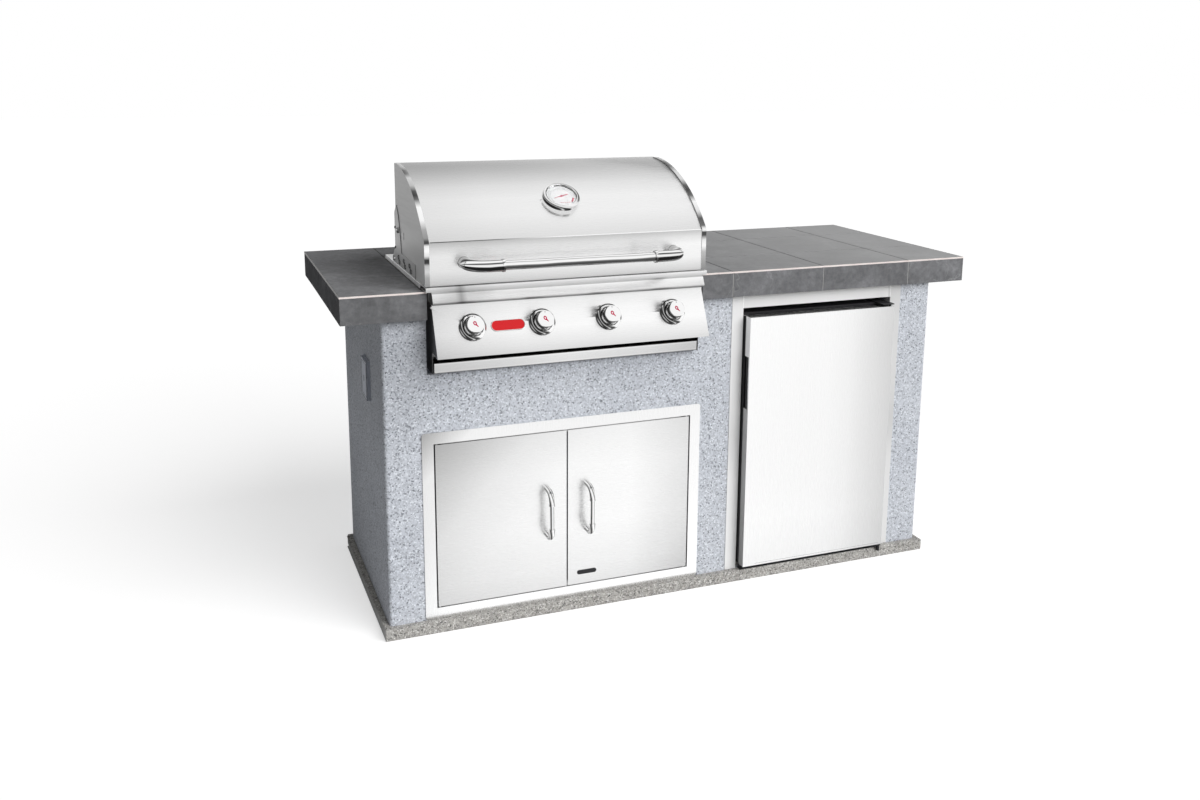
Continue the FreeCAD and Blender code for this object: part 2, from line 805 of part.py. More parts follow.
def outlet():
    """A covered outlet on the left wall: the box in the wall, the plate and the hinged lid."""
    wall_x = -BASE_X
    half_y = D.outlet_box_width / 2
    half_z = D.outlet_box_height / 2
    box_y = (D.outlet_middle_y - half_y, D.outlet_middle_y + half_y)
    box_z = (D.outlet_middle_z - half_z, D.outlet_middle_z + half_z)
    sheet = D.frame_sheet
    outer = box("outlet_box_outer", (wall_x, wall_x + D.outlet_box_depth), box_y, box_z)
    inner_y = (box_y[0] + sheet, box_y[1] - sheet)
    inner_z = (box_z[0] + sheet, box_z[1] - sheet)
    inner = box("outlet_box_inner", (wall_x - 1, wall_x + D.outlet_box_depth - sheet), inner_y, inner_z)
    node("outlet_box", cut("outlet_box_cut", outer, inner))
    face_half_y = D.outlet_width / 2
    face_half_z = D.outlet_height / 2
    plate_x = wall_x - D.outlet_plate
    plate_y = (D.outlet_middle_y - face_half_y, D.outlet_middle_y + face_half_y)
    plate_z = (D.outlet_middle_z - face_half_z, D.outlet_middle_z + face_half_z)
    blank = box("outlet_plate_blank", (plate_x, wall_x), plate_y, plate_z)
    slots = []
    for i, height in enumerate(row_from_middle(2, half_z * 0.9, D.outlet_middle_z)):
        for k, (offset, long) in enumerate(((-7, 9), (7, 7))):
            y = D.outlet_middle_y + offset
            slot_z = (height - long / 2, height + long / 2)
            slots.append(
                box("outlet_slot_%d_%d" % (i, k), (plate_x - 1, wall_x + 1), (y - 1, y + 1), slot_z)
            )
    node("outlet_plate", cut("outlet_plate_cut", blank, *slots))
    lid_x = (plate_x - D.rest_gap - D.outlet_lid, plate_x - D.rest_gap)
    rim = D.frame_sheet
    lid_outer = box(
        "lid_outer", lid_x, (plate_y[0] + rim, plate_y[1] - rim), (plate_z[0] + rim, plate_z[1] - rim)
    )
    hollow_y = (plate_y[0] + rim * 2, plate_y[1] - rim * 2)
    hollow_z = (plate_z[0] + rim * 2, plate_z[1] - rim * 2)
    hollow = box("lid_hollow", (lid_x[0] + rim, lid_x[1] + 1), hollow_y, hollow_z)
    shell = cut("lid_shell", lid_outer, hollow)
    latch_y = (plate_y[0] + rim - 3, plate_y[0] + rim)
    latch_z = (D.outlet_middle_z - 9, D.outlet_middle_z + 9)
    latch = box("lid_latch", (lid_x[0] + 1, lid_x[1] - 1), latch_y, latch_z)
    node("outlet_lid", fuse("lid_weld", shell, latch))


def storage_doors():
    """The stainless frame set in the wall with its pins and catches, the two doors and their pulls."""
    front = -BASE_Y - D.frame_proud
    z0 = D.plinth_height
    flange = DOC.addObject("PartDesign::Body", "door_flange")
    sketch = new_sketch(flange, "door_flange_outline", "XZ_Plane")
    draw_rounded(sketch, (D.frame_left, D.frame_right), (z0, D.frame_top), D.frame_round)
    draw_outline(sketch, rectangle(DOOR_LEFT, DOOR_RIGHT, DOOR_BOTTOM, DOOR_TOP))
    pad = flange.newObject("PartDesign::Pad", "door_flange_pad")
    pad.Profile = sketch
    bind(pad, "Length", D.frame_proud)
    place(flange, 0, -BASE_Y, 0)
    sheet = D.frame_sheet
    sleeve_y = (-BASE_Y, -BASE_Y + D.sleeve_depth)
    outer_x = (DOOR_LEFT - sheet, DOOR_RIGHT + sheet)
    outer = box("sleeve_outer", outer_x, sleeve_y, (DOOR_BOTTOM - sheet, DOOR_TOP + sheet))
    inner_y = (sleeve_y[0] - 1, sleeve_y[1] + 1)
    inner = box("sleeve_inner", (DOOR_LEFT, DOOR_RIGHT), inner_y, (DOOR_BOTTOM, DOOR_TOP))
    sleeve = cut("door_sleeve", outer, inner)
    door_back = front + D.door_thick
    stop_y = (door_back + D.rest_gap, door_back + D.rest_gap + sheet)
    clear = D.stop_width * 2
    stop_x = (DOOR_LEFT + clear, DOOR_RIGHT - clear)
    low_stop = box("stop_low", stop_x, stop_y, (DOOR_BOTTOM, DOOR_BOTTOM + D.stop_width))
    high_stop = box("stop_high", stop_x, stop_y, (DOOR_TOP - D.stop_width, DOOR_TOP))
    frame_parts = [flange, sleeve, low_stop, high_stop]

    middle = (DOOR_LEFT + DOOR_RIGHT) / 2
    half_gap = D.door_middle_gap / 2
    bottom = DOOR_BOTTOM + D.door_end_gap
    top = DOOR_TOP - D.door_end_gap
    pivot_y = front + D.door_thick / 2
    places = {
        "left": (DOOR_LEFT + D.door_side_gap, middle - half_gap, 1),
        "right": (DOOR_RIGHT - D.door_side_gap, middle + half_gap, -1),
    }
    for side, (hinge_x, free_x, inward) in places.items():
        wide = (hinge_x, free_x) if inward > 0 else (free_x, hinge_x)
        panel = box(side + "_door_panel", wide, (front, door_back), (bottom, top))
        pivot_x = hinge_x + D.door_pivot_inset * inward
        holes = []
        bite = D.pin_bite
        for end, pin_z, hole_z in (
            ("low", DOOR_BOTTOM, bottom - 1),
            ("high", top - bite, top - bite - 1),
        ):
            length = D.door_end_gap + bite + sheet / 2
            start = pin_z - sheet / 2 if end == "low" else pin_z
            pin = cylinder("%s_%s_pin" % (side, end), D.pin_radius, length, (pivot_x, pivot_y, start))
            frame_parts.append(pin)
            hole_radius = D.pin_radius + D.running_gap
            holes.append(
                cylinder("%s_%s_hole" % (side, end), hole_radius, bite + 2, (pivot_x, pivot_y, hole_z))
            )
        node("door_" + side, cut(side + "_door_cut", panel, *holes))
        pull_x = free_x - (D.pull_from_edge) * inward
        pull = bow_handle(
            side + "_pull",
            D.pull_bar,
            D.pull_half,
            D.pull_collar,
            D.pull_standoff,
            D.pull_elbow,
            D.pull_bend,
        )
        place(pull, pull_x, front, D.pull_height, rotation=FreeCAD.Rotation(Y_AXIS, -90))
        node("door_handle_" + side, pull)
    for i, x in enumerate((middle - D.stop_width * 4, middle + D.stop_width)):
        wide = (x, x + D.stop_width * 3)
        low = DOOR_TOP - D.stop_width - 8
        catch = box("catch_%d" % i, wide, (stop_y[0], stop_y[0] + D.stop_width), (low, DOOR_TOP - 1))
        frame_parts.append(catch)
    node("door_frame", fuse("door_frame_weld", *frame_parts))


def bow_handle(name, bar, half, collar, standoff, elbow, bend):
    """A tube handle along X on two elbow feet that stand on the plane Y = 0 and reach towards -Y."""
    centre_y = -standoff
    parts = [cylinder(name + "_bar", bar, collar * 2, (-collar, centre_y, 0), "x")]
    for sign in (-1, 1):
        side = "%s_%s" % (name, "left" if sign < 0 else "right")
        foot = cylinder(side + "_foot", elbow, standoff - bend, (half * sign, centre_y + bend, 0), "y")
        ring = DOC.addObject("Part::Torus", side + "_bend")
        bind(ring, "Radius1", bend)
        bind(ring, "Radius2", elbow)
        ring.Angle3 = 90
        turn = 180 if sign < 0 else 270
        place(ring, (half - bend) * sign, centre_y + bend, 0, rotation=FreeCAD.Rotation(Z_AXIS, turn))
        inner_end = collar * sign if sign > 0 else bend - half
        arm = cylinder(side + "_arm", elbow, half - bend - collar, (inner_end, centre_y, 0), "x")
        lip = collar - elbow / 4 if sign > 0 else -collar - elbow / 4
        band = cylinder(side + "_collar", elbow + elbow / 10, elbow / 2, (lip, centre_y, 0), "x")
        base = cylinder(side + "_base", elbow * 1.05, elbow / 4, (half * sign, -elbow / 4, 0), "y")
        parts.extend([foot, ring, arm, band, base])
    return fuse(name + "_weld", *parts)


def fridge_surround():
    """Three stainless strips round the refrigerator's opening, with returns into the wall."""
    sheet = D.surround_sheet
    front = -BASE_Y - sheet
    face = (front, -BASE_Y)
    back = (-BASE_Y, -BASE_Y + D.surround_return)
    strips = []
    left_face = box(
        "surround_left_face", (D.surround_left, FRIDGE_OPEN_LEFT), face, (FLOOR_TOP, UNDER_COUNTER)
    )
    left_back = box(
        "surround_left_back",
        (FRIDGE_OPEN_LEFT - sheet, FRIDGE_OPEN_LEFT),
        back,
        (FLOOR_TOP, FRIDGE_OPEN_TOP),
    )
    strips.append(fuse("surround_left_strip", left_face, left_back))
    middle = (D.surround_left + D.surround_right) / 2
    strips.append(mirror("surround_right_strip", strips[0], middle))
    top_x = (FRIDGE_OPEN_LEFT, FRIDGE_OPEN_RIGHT)
    top_face = box("surround_top_face", top_x, face, (FRIDGE_OPEN_TOP, UNDER_COUNTER))
    top_back = box("surround_top_back", top_x, back, (FRIDGE_OPEN_TOP, FRIDGE_OPEN_TOP + sheet))
    strips.append(fuse("surround_top_strip", top_face, top_back))
    node("fridge_frame", group("surround_set", *strips))


def stepped_block(name, inset, front):
    """The refrigerator's outline less an inset: a block with a step at the back for the compressor."""
    y0 = front
    y1 = FRIDGE_BACK - inset
    z0 = FRIDGE_BOTTOM + inset
    z1 = FRIDGE_TOP - inset
    step_y = FRIDGE_BACK - D.step_depth - inset
    step_z = FRIDGE_BOTTOM + D.step_height + inset
    points = [(y0, z0), (step_y, z0), (step_y, step_z), (y1, step_z), (y1, z1), (y0, z1)]
    middle = FRIDGE_MIDDLE
    return side_profile(name, points, (FRIDGE_RIGHT - FRIDGE_LEFT) / 2 - inset, middle)


def refrigerator():
    """A compact refrigerator: cabinet, liner, shelves, dial, compressor, feet, hinges and door."""
    wall = Size.of(D.fridge_wall)
    zero = Size.of(0)
    front = D.fridge_front
    outside = stepped_block("cabinet_block", zero, front)
    cabinet = cut("cabinet_cut", outside, stepped_block("cabinet_room", wall, front - 1))
    inset = D.fridge_wall
    feet = []
    for i, x in enumerate((FRIDGE_LEFT + inset, FRIDGE_RIGHT - inset)):
        for k, y in enumerate((front + inset * 3, FRIDGE_BACK - D.step_depth - inset)):
            foot = (x, y, D.plinth_height)
            feet.append(cylinder("foot_%d_%d" % (i, k), D.fridge_foot, D.fridge_foot, foot))
    node("fridge_cabinet", fuse("cabinet_weld", cabinet, *feet))
    room = wall + D.liner_wall
    liner = cut(
        "liner_cut",
        stepped_block("liner_block", wall, front),
        stepped_block("liner_room", room, front - 1),
    )
    left = FRIDGE_LEFT + room
    right = FRIDGE_RIGHT - room
    deep = FRIDGE_BACK - D.step_depth - room
    step_z = FRIDGE_BOTTOM + D.step_height
    shelf_places = [step_z + D.step_height * k for k in (0.35, 1.35)]
    shelf_y = (front + wall * 2.5, deep)
    ribs = []
    shelves = []
    bite = D.liner_wall / 2
    for i, height in enumerate(shelf_places):
        rib_z = (height - D.rib_side, height)
        ribs.append(box("rib_left_%d" % i, (left - bite, left + D.rib_side), shelf_y, rib_z))
        ribs.append(box("rib_right_%d" % i, (right - D.rib_side, right + bite), shelf_y, rib_z))
        wide = (left + 2, right - 2)
        pane = box("shelf_pane_%d" % i, wide, shelf_y, (height, height + D.shelf_thick))
        lip = box(
            "shelf_lip_%d" % i,
            wide,
            (shelf_y[0] - 6, shelf_y[0]),
            (height - 2, height + D.shelf_thick * 2),
        )
        shelves.append(fuse("shelf_%d" % i, pane, lip))
    dial_z = FRIDGE_TOP - room - D.dial_radius * 2
    dial_y = front + wall * 4
    half = D.dial_radius * 1.5
    housing_x = (right - D.dial_radius, right + bite)
    housing = box(
        "dial_housing",
        housing_x,
        (dial_y - half, dial_y + half),
        (dial_z - half, FRIDGE_TOP - room + bite),
    )
    pin = cylinder(
        "dial_pin",
        D.fridge_pin,
        D.dial_radius / 2,
        (housing_x[0] - D.dial_radius / 2, dial_y, dial_z),
        "x",
    )
    node("fridge_liner", fuse("liner_weld", liner, housing, pin, *ribs))
    node("fridge_shelves", group("shelf_set", *shelves))
    dial_x = housing_x[0] - D.rest_gap - D.dial_radius * 0.7
    disc = cylinder("dial_disc", D.dial_radius, D.dial_radius * 0.4, (dial_x, dial_y, dial_z), "x")
    hub = cylinder("dial_hub", D.dial_radius * 0.6, D.dial_radius * 0.7, (dial_x, dial_y, dial_z), "x")
    grip_z = (dial_z - D.dial_radius * 0.9, dial_z + D.dial_radius * 0.9)
    grip = box("dial_grip", (dial_x - 6, dial_x + 1), (dial_y - 3, dial_y + 3), grip_z)
    bore_radius = D.fridge_pin + D.running_gap
    bore_x = housing_x[0] - D.dial_radius / 2 - 1
    bore = cylinder("dial_bore", bore_radius, D.dial_radius, (bore_x, dial_y, dial_z), "x")
    node("thermostat_dial", cut("dial_cut", fuse("dial_weld", disc, hub, grip), bore))

    compressor()
    fridge_door()


def compressor():
    """The compressor on its base plate, in the step at the foot of the cabinet's back."""
    plate_y = (FRIDGE_BACK - D.step_depth, FRIDGE_BACK)
    plate_z = (FRIDGE_BOTTOM, FRIDGE_BOTTOM + D.hinge_sheet)
    plate = box("compressor_plate", (FRIDGE_LEFT, FRIDGE_RIGHT), plate_y, plate_z)
    radius = D.compressor_radius
    height = D.compressor_height
    foot = D.fridge_foot / 3
    section = [
        (0, 0),
        (radius * 0.86, 0),
        (radius, radius * 0.22),
        (radius, height - radius * 0.5),
        (radius * 1.06, height - radius * 0.5),
        (radius * 1.06, height - radius * 0.4),
        (radius * 0.96, height - radius * 0.4),
        (radius * 0.7, height - radius * 0.1),
        (0, height),
    ]
    pot = turned("compressor_pot", section)
    middle_x = FRIDGE_MIDDLE
    middle_y = FRIDGE_BACK - D.step_depth / 2
    top = FRIDGE_BOTTOM + D.hinge_sheet
    place(pot, middle_x, middle_y, top + foot)
    stand = cylinder("compressor_stand", radius * 0.7, foot + 1, (middle_x, middle_y, top - 0.5))
    node("compressor", fuse("compressor_weld", plate, pot, stand))


def fridge_door():
    """The stainless door skin over its insulated core, with gasket, racks, side grip and hinges."""
    skin = D.door_skin
    left = FRIDGE_LEFT - skin
    right = FRIDGE_RIGHT + skin - 0.5
    low = FRIDGE_BOTTOM + D.fridge_door_lift
    high = FRIDGE_TOP - D.fridge_door_drop
    front = D.fridge_door_front
    back = front + D.fridge_door_thick
    wide = (left, right)
    tall = (low, high)
    pivot_x = right - D.fridge_pivot_inset
    pivot_y = front + D.fridge_pivot_inset
    grip_z = (FRIDGE_TOP - D.grip_drop, FRIDGE_TOP - D.grip_drop + D.grip_height)
    grip_y = (back - D.grip_width - 8, back - 8)
    grip_hole = box("grip_hole", (left - 1, left + D.grip_depth), grip_y, grip_z)
    pin_length = D.fridge_foot
    hole_radius = D.fridge_pin + D.running_gap
    holes = [
        cylinder("hinge_hole_low", hole_radius, pin_length + 2, (pivot_x, pivot_y, low - 1)),
        cylinder(
            "hinge_hole_high", hole_radius, pin_length + 2, (pivot_x, pivot_y, high - pin_length - 1)
        ),
    ]
    outer = box("door_skin_outer", wide, (front, back), tall)
    inner = box(
        "door_skin_inner",
        (left + skin, right - skin),
        (front + skin, back + 1),
        (low + skin, high - skin),
    )
    node("fridge_door_skin", cut("door_skin_cut", outer, inner, grip_hole, *holes))
    core = box("door_core", (left + skin, right - skin), (front + skin, back), (low + skin, high - skin))
    room = D.fridge_wall + D.liner_wall
    rack_x = (FRIDGE_LEFT + room * 1.5, FRIDGE_RIGHT - room * 1.5)
    solids = [cut("door_core_cut", core, grip_hole, *holes)]
    for i, share in enumerate((0.08, 0.4, 0.72)):
        solids.extend(door_rack("rack_%d" % i, rack_x, back, FRIDGE_BOTTOM + FRIDGE_TALL * share))
    node("fridge_door_liner", group("door_core_set", *solids))
    cup_outer = box("grip_outer", (left, left + D.grip_depth), grip_y, grip_z)
    cup = skin
    cup_y = (grip_y[0] + cup, grip_y[1] - cup)
    cup_z = (grip_z[0] + cup, grip_z[1] - cup)
    cup_inner = box("grip_inner", (left - 1, left + D.grip_depth - cup), cup_y, cup_z)
    node("fridge_door_grip", cut("grip_cut", cup_outer, cup_inner))

    inset = D.gasket_inset
    seal_y = (back, D.fridge_front - D.rest_gap)
    seal_outer = box(
        "gasket_outer", (left + inset, right - inset), seal_y, (low + inset / 2, high - inset / 2)
    )
    band = D.gasket_width
    seal_x = (left + inset + band, right - inset - band)
    seal_z = (low + inset / 2 + band, high - inset / 2 - band)
    seal_inner = box("gasket_inner", seal_x, (back - 1, D.fridge_front), seal_z)
    node("fridge_gasket", cut("gasket_cut", seal_outer, seal_inner))

    sheet = D.hinge_sheet
    arm_x = (right - D.fridge_pivot_inset * 4, right)
    arm_y = (front + 2, D.fridge_front + D.fridge_wall * 1.5)
    top_arm = box("hinge_top_arm", arm_x, arm_y, (FRIDGE_TOP, FRIDGE_TOP + sheet))
    top_pin = cylinder(
        "hinge_top_pin",
        D.fridge_pin,
        FRIDGE_TOP - high + pin_length + 1,
        (pivot_x, pivot_y, high - pin_length),
    )
    low_arm = box("hinge_low_arm", arm_x, arm_y, (FRIDGE_BOTTOM - sheet, FRIDGE_BOTTOM))
    low_pin = cylinder(
        "hinge_low_pin",
        D.fridge_pin,
        low + pin_length - FRIDGE_BOTTOM + 1,
        (pivot_x, pivot_y, FRIDGE_BOTTOM - 1),
    )
    brackets = group(
        "hinge_set", fuse("hinge_top", top_arm, top_pin), fuse("hinge_low", low_arm, low_pin)
    )
    node("fridge_hinges", brackets)


def door_rack(name, wide, back, base):
    """An open rack on the inside of the refrigerator's door: a floor, a front and two ends."""
    wall = D.liner_wall
    deep = D.fridge_wall * 2
    tall = (base + wall, base + deep)
    ends_y = (back, back + deep - wall)
    return [
        box(name + "_floor", wide, (back, back + deep), (base, base + wall)),
        box(name + "_front", wide, (ends_y[1], back + deep), tall),
        box(name + "_left", (wide[0], wide[0] + wall), ends_y, tall),
        box(name + "_right", (wide[1] - wall, wide[1]), ends_y, tall),
    ]


def grill_body():
    """The firebox, the deck that hangs it on the counter, the front ledge and the fixed side ears."""
    middle = D.grill_middle
    sheet = D.grill_sheet
    top = D.counter_height
    low = TRAY_BOTTOM - D.rest_gap - sheet
    out_x = (middle - D.fire_half, middle + D.fire_half)
    in_x = (middle - D.fire_half + sheet, middle + D.fire_half - sheet)
    side_y = (D.fire_front, D.fire_back)
    shelf = D.shelf_reach
    sheets = []
    for name, wide in (("left", (out_x[0], in_x[0])), ("right", (in_x[1], out_x[1]))):
        sheets.append(box("fire_wall_" + name, wide, side_y, (low, top)))
        foot_x = (in_x[0], in_x[0] + shelf) if name == "left" else (in_x[1] - shelf, in_x[1])
        sheets.append(box("tray_runner_" + name, foot_x, side_y, (low, low + sheet)))
    above_tray = TRAY_TOP + D.tray_clear
    front_y = (D.fire_front, D.fire_front + sheet)
    back_y = (D.fire_back - sheet, D.fire_back)
    holes = []
    for i, x in enumerate(KNOB_PLACES):
        start = (x, D.fire_front - 1, BURNER_Z)
        holes.append(cylinder("burner_hole_%d" % i, D.burner_neck + 1, sheet + 2, start, "y"))
    front = box("fire_wall_front", in_x, front_y, (above_tray, top))
    sheets.append(cut("fire_front_cut", front, *holes))
    sheets.append(box("fire_wall_back", in_x, back_y, (above_tray, top)))
    for name, height in (("tamer", TAMER_Z), ("grate", GRATE_Z)):
        z = (height - sheet, height)
        sheets.append(box(name + "_shelf_front", in_x, (front_y[1], front_y[1] + shelf), z))
        sheets.append(box(name + "_shelf_back", in_x, (back_y[0] - shelf, back_y[0]), z))
    node("firebox", group("firebox_sheets", *sheets))

    deck_x = (middle - RAIL_HALF, middle + RAIL_HALF)
    blank = box("deck_blank", deck_x, (D.fire_front, D.deck_back), (top, RAIL_TOP))
    mouth = box("deck_mouth", in_x, (D.fire_front + sheet, D.fire_back - sheet), (top - 1, RAIL_TOP + 1))
    inset = D.deck_inset
    under_x = (deck_x[0] + inset, deck_x[1] - inset)
    under_y = (D.fire_back + inset, D.deck_back - inset)
    under = box("deck_under", under_x, under_y, (top - 1, RAIL_TOP - sheet))
    node("trim_rails", cut("deck_cut", blank, mouth, under))
    front_ledge()
    side_ears()


def front_ledge():
    """The folded ledge under the hood's front edge, with a slanting bull nose below it."""
    middle = D.grill_middle
    sheet = D.grill_sheet
    front = D.ledge_front
    top = RAIL_TOP
    channel = [
        (D.fire_front, top),
        (front, top),
        (front, D.counter_height),
        (D.fire_front, D.counter_height),
        (D.fire_front, D.counter_height + sheet),
        (front + sheet, D.counter_height + sheet),
        (front + sheet, top - sheet),
        (D.fire_front, top - sheet),
    ]
    ledge = side_profile("ledge_channel", channel, RAIL_HALF, middle)
    nose_top = top - D.nose_drop
    nose_low = nose_top - D.nose_height
    reach = front - D.nose_reach
    curl = D.nose_curl
    nose = [
        (front + sheet * 4, nose_top + sheet * 2.5),
        (front, nose_top + sheet * 2.5),
        (front - curl * 0.7, nose_top),
        (reach, nose_low),
        (reach + curl * 0.25, nose_low - curl * 0.6),
        (reach + curl, nose_low - curl),
        (front + D.panel_lip, nose_low - curl),
        (front + D.panel_lip, nose_low - curl + sheet),
        (reach + curl, nose_low - curl + sheet),
        (reach + curl * 0.25 + sheet, nose_low - curl * 0.45),
        (reach + sheet, nose_low),
        (front - curl * 0.7 + sheet, nose_top),
        (front + sheet * 4, nose_top + sheet * 1.5),
    ]
    bull_nose = side_profile("bull_nose", nose, NOSE_HALF, middle)
    node("front_ledge", fuse("ledge_weld", ledge, bull_nose))


def side_ears():
    """Fixed plates outside the hood, with vent slots, that carry the hood's two pivot bolts."""
    inner = HOOD_HALF + D.ear_gap
    outer = inner + D.ear_sheet
    y, z = D.pivot_y, PIVOT_Z
    base = RAIL_TOP
    top = z + D.ear_rise
    points = [
        (y - D.ear_front, base),
        (y + D.ear_back, base),
        (y + D.ear_back, base + D.ear_foot),
        (y + D.ear_rear, base + D.ear_foot * 4),
        (y + D.ear_rear, top),
        (y + D.ear_rear / 2, top + D.ear_foot * 2),
        (y, top),
        (y - D.ear_neck, z),
        (y - D.ear_neck * 2, base + D.ear_strip),
        (y - D.ear_front, base + D.ear_strip),
    ]
    plate = padded("ear_plate", "YZ_Plane", [points], D.ear_sheet)
    place(plate, D.grill_middle + inner, 0, 0)
    slots = []
    for row, (count, pitch) in enumerate(((4, D.vent_pitch), (3, D.vent_high_pitch))):
        first = y - D.vent_start + D.vent_shift * row
        height = base + D.vent_low + D.vent_row * row
        for i in range(count):
            name = "ear_vent_%d_%d" % (row, i)
            slots.append(vent(name, D.grill_middle + inner - 1, first + pitch * i, height))
    ear = cut("ear_right_cut", plate, *slots)
    inward = HOOD_HALF - D.hood_side_sheet - 3
    shank = cylinder(
        "pivot_shank", D.pivot_bolt, outer - inward + 1, (D.grill_middle + inward, y, z), "x"
    )
    head = cylinder(
        "pivot_head", D.pivot_bolt * 1.7, D.pivot_bolt * 0.8, (D.grill_middle + outer, y, z), "x"
    )
    right = fuse("ear_right", ear, shank, head)
    left = mirror("ear_left", right, D.grill_middle)
    node("side_ears", group("ear_pair", left, right))


def vent(name, x, y, z):
    """A round-ended slot through an ear, lying along Y."""
    half = D.vent_length / 2
    through = D.ear_sheet + 2
    radius = D.vent_radius
    parts = [box(name + "_middle", (x, x + through), (y - half, y + half), (z - radius, z + radius))]
    for end, place_y in (("front", y - half), ("back", y + half)):
        parts.append(cylinder(name + "_" + end, radius, through, (x, place_y, z), "x"))
    return fuse(name, *parts)


# The control panel leans back at the top: down its slope by a distance, and out from its face.
SLOPE_Y = sine(D.panel_tilt)
SLOPE_Z = cosine(D.panel_tilt)
LEAN = 90 - D.panel_tilt


def on_panel(down, out):
    """Y and Z of a point at a distance down the panel's slope and out from its face."""
    y = D.panel_top_y - SLOPE_Y * down - SLOPE_Z * out
    z = PANEL_TOP_Z - SLOPE_Z * down + SLOPE_Y * out
    return y, z


def control_panel():
    """The leaning stainless panel, its cheeks, the knob bezels, the gas pipe and its valves."""
    middle = D.grill_middle
    sheet = D.grill_sheet
    lip = D.panel_lip
    nose_bottom = RAIL_TOP - D.nose_drop - D.nose_height - D.nose_curl
    top_y, top_z = on_panel(0, 0)
    low_y, low_z = on_panel(D.panel_slope, 0)
    in_top_y, in_top_z = on_panel(sheet, -sheet)
    in_low_y, in_low_z = on_panel(D.panel_slope - sheet, -sheet)
    section = [
        (top_y, nose_bottom),
        (top_y, top_z),
        (low_y, low_z),
        (low_y + lip * 1.5, low_z),
        (low_y + lip * 1.5, low_z + sheet),
        (in_low_y, low_z + sheet),
        (in_top_y, in_top_z),
        (in_top_y, nose_bottom - sheet),
        (top_y + lip, nose_bottom - sheet),
        (top_y + lip, nose_bottom),
    ]
    blank = side_profile("panel_sheet", section, PANEL_HALF, middle)
    y, z = on_panel(D.knob_down, -sheet * 3)
    holes = []
    for i, x in enumerate(KNOB_PLACES):
        hole = cylinder("panel_hole_%d" % i, D.stem_radius + D.stem_hole_gap, sheet * 6, (0, 0, 0))
        holes.append(leaned("panel_hole_%d" % i, hole, x, y, z, LEAN))
    panel = cut("panel_cut", blank, *holes)
    node("control_panel", panel)

    cheek_low = TRAY_BOTTOM - D.rest_gap - sheet
    cheek = [
        (D.fire_front + D.shelf_reach * 2, cheek_low),
        (D.tray_front + 2, cheek_low),
        (D.tray_front + 2, low_z + sheet),
        (in_low_y, low_z + sheet),
        (in_top_y, in_top_z),
        (in_top_y, nose_bottom - sheet),
        (D.fire_front + D.shelf_reach * 2, nose_bottom - sheet),
    ]
    plate = padded("cheek_plate", "YZ_Plane", [cheek], sheet)
    place(plate, middle + D.fire_half, 0, 0)
    node("panel_cheeks", group("cheek_pair", mirror("cheek_left", plate, middle), plate))

    ring_in = D.knob_radius + 1.5
    ring_out = D.bezel_radius
    high = D.bezel_height
    ring = [
        (ring_in, 0),
        (ring_out, 0),
        (ring_out, high * 0.35),
        (ring_out - 2, high * 0.6),
        (ring_out - 6, high * 0.75),
        (ring_out - 7, high),
        (ring_in, high),
    ]
    y, z = on_panel(D.knob_down, 0)
    bezels = []
    for i, x in enumerate(KNOB_PLACES):
        bezel = turned("bezel_%d" % i, ring)
        bezels.append(leaned("bezel_%d" % i, bezel, x, y, z, LEAN))
    node("knob_bezels", group("bezel_set", *bezels))
    gas_train(y, z)


def gas_train(face_y, face_z):
    """The gas pipe across the control box, a valve behind each knob, its push stem and the knob."""
    middle = D.grill_middle
    sheet = D.grill_sheet
    pipe_y, pipe_z = on_panel(D.knob_down, -D.valve_depth)
    half = D.fire_half
    parts = [cylinder("gas_pipe", D.pipe_radius, half * 2, (middle - half, pipe_y, pipe_z), "x")]
    neck = D.stem_radius + 3
    body_start = sheet * 7
    profile = [
        (0, -D.valve_depth),
        (D.valve_radius, -D.valve_depth),
        (D.valve_radius, -body_start),
        (neck, -body_start),
        (neck, -sheet),
        (0, -sheet),
    ]
    bores = []
    bore_deep = D.stem_depth + D.push_travel + 2
    for i, x in enumerate(KNOB_PLACES):
        valve = turned("valve_%d" % i, profile)
        parts.append(leaned("valve_%d" % i, valve, x, face_y, face_z, LEAN))
        bore = cylinder("valve_bore_%d" % i, D.stem_radius + D.running_gap, bore_deep, (0, 0, 0))
        y, z = on_panel(D.knob_down, -bore_deep)
        bores.append(leaned("valve_bore_%d" % i, bore, x, y, z, LEAN))
    node("gas_manifold", cut("manifold_cut", fuse("manifold_weld", *parts), *bores))

    reach = D.stem_reach
    radius = D.knob_radius
    base = D.knob_gap
    high = D.knob_reach
    bore = D.stem_radius + D.running_gap
    section = [
        (bore, base),
        (radius - 0.8, base),
        (radius, base + 2),
        (radius, base + 11),
        (radius - 3, base + 14),
        (radius - 3, base + 16),
        (radius - 1.2, base + 19),
        (radius - 1.2, high - 4),
        (radius - 4, high - 0.8),
        (0, high),
        (0, reach + D.rest_gap),
        (bore, reach + D.rest_gap),
    ]
    for i, x in enumerate(KNOB_PLACES, start=1):
        stem = cylinder("stem_rod_%d" % i, D.stem_radius, D.stem_depth + reach, (0, 0, 0))
        y, z = on_panel(D.knob_down, -D.stem_depth)
        node("valve_stem_%d" % i, leaned("valve_stem_%d" % i, stem, x, y, z, LEAN))
        knob = turned("knob_body_%d" % i, section)
        node("knob_%d" % i, leaned("knob_%d" % i, knob, x, face_y, face_z, LEAN))


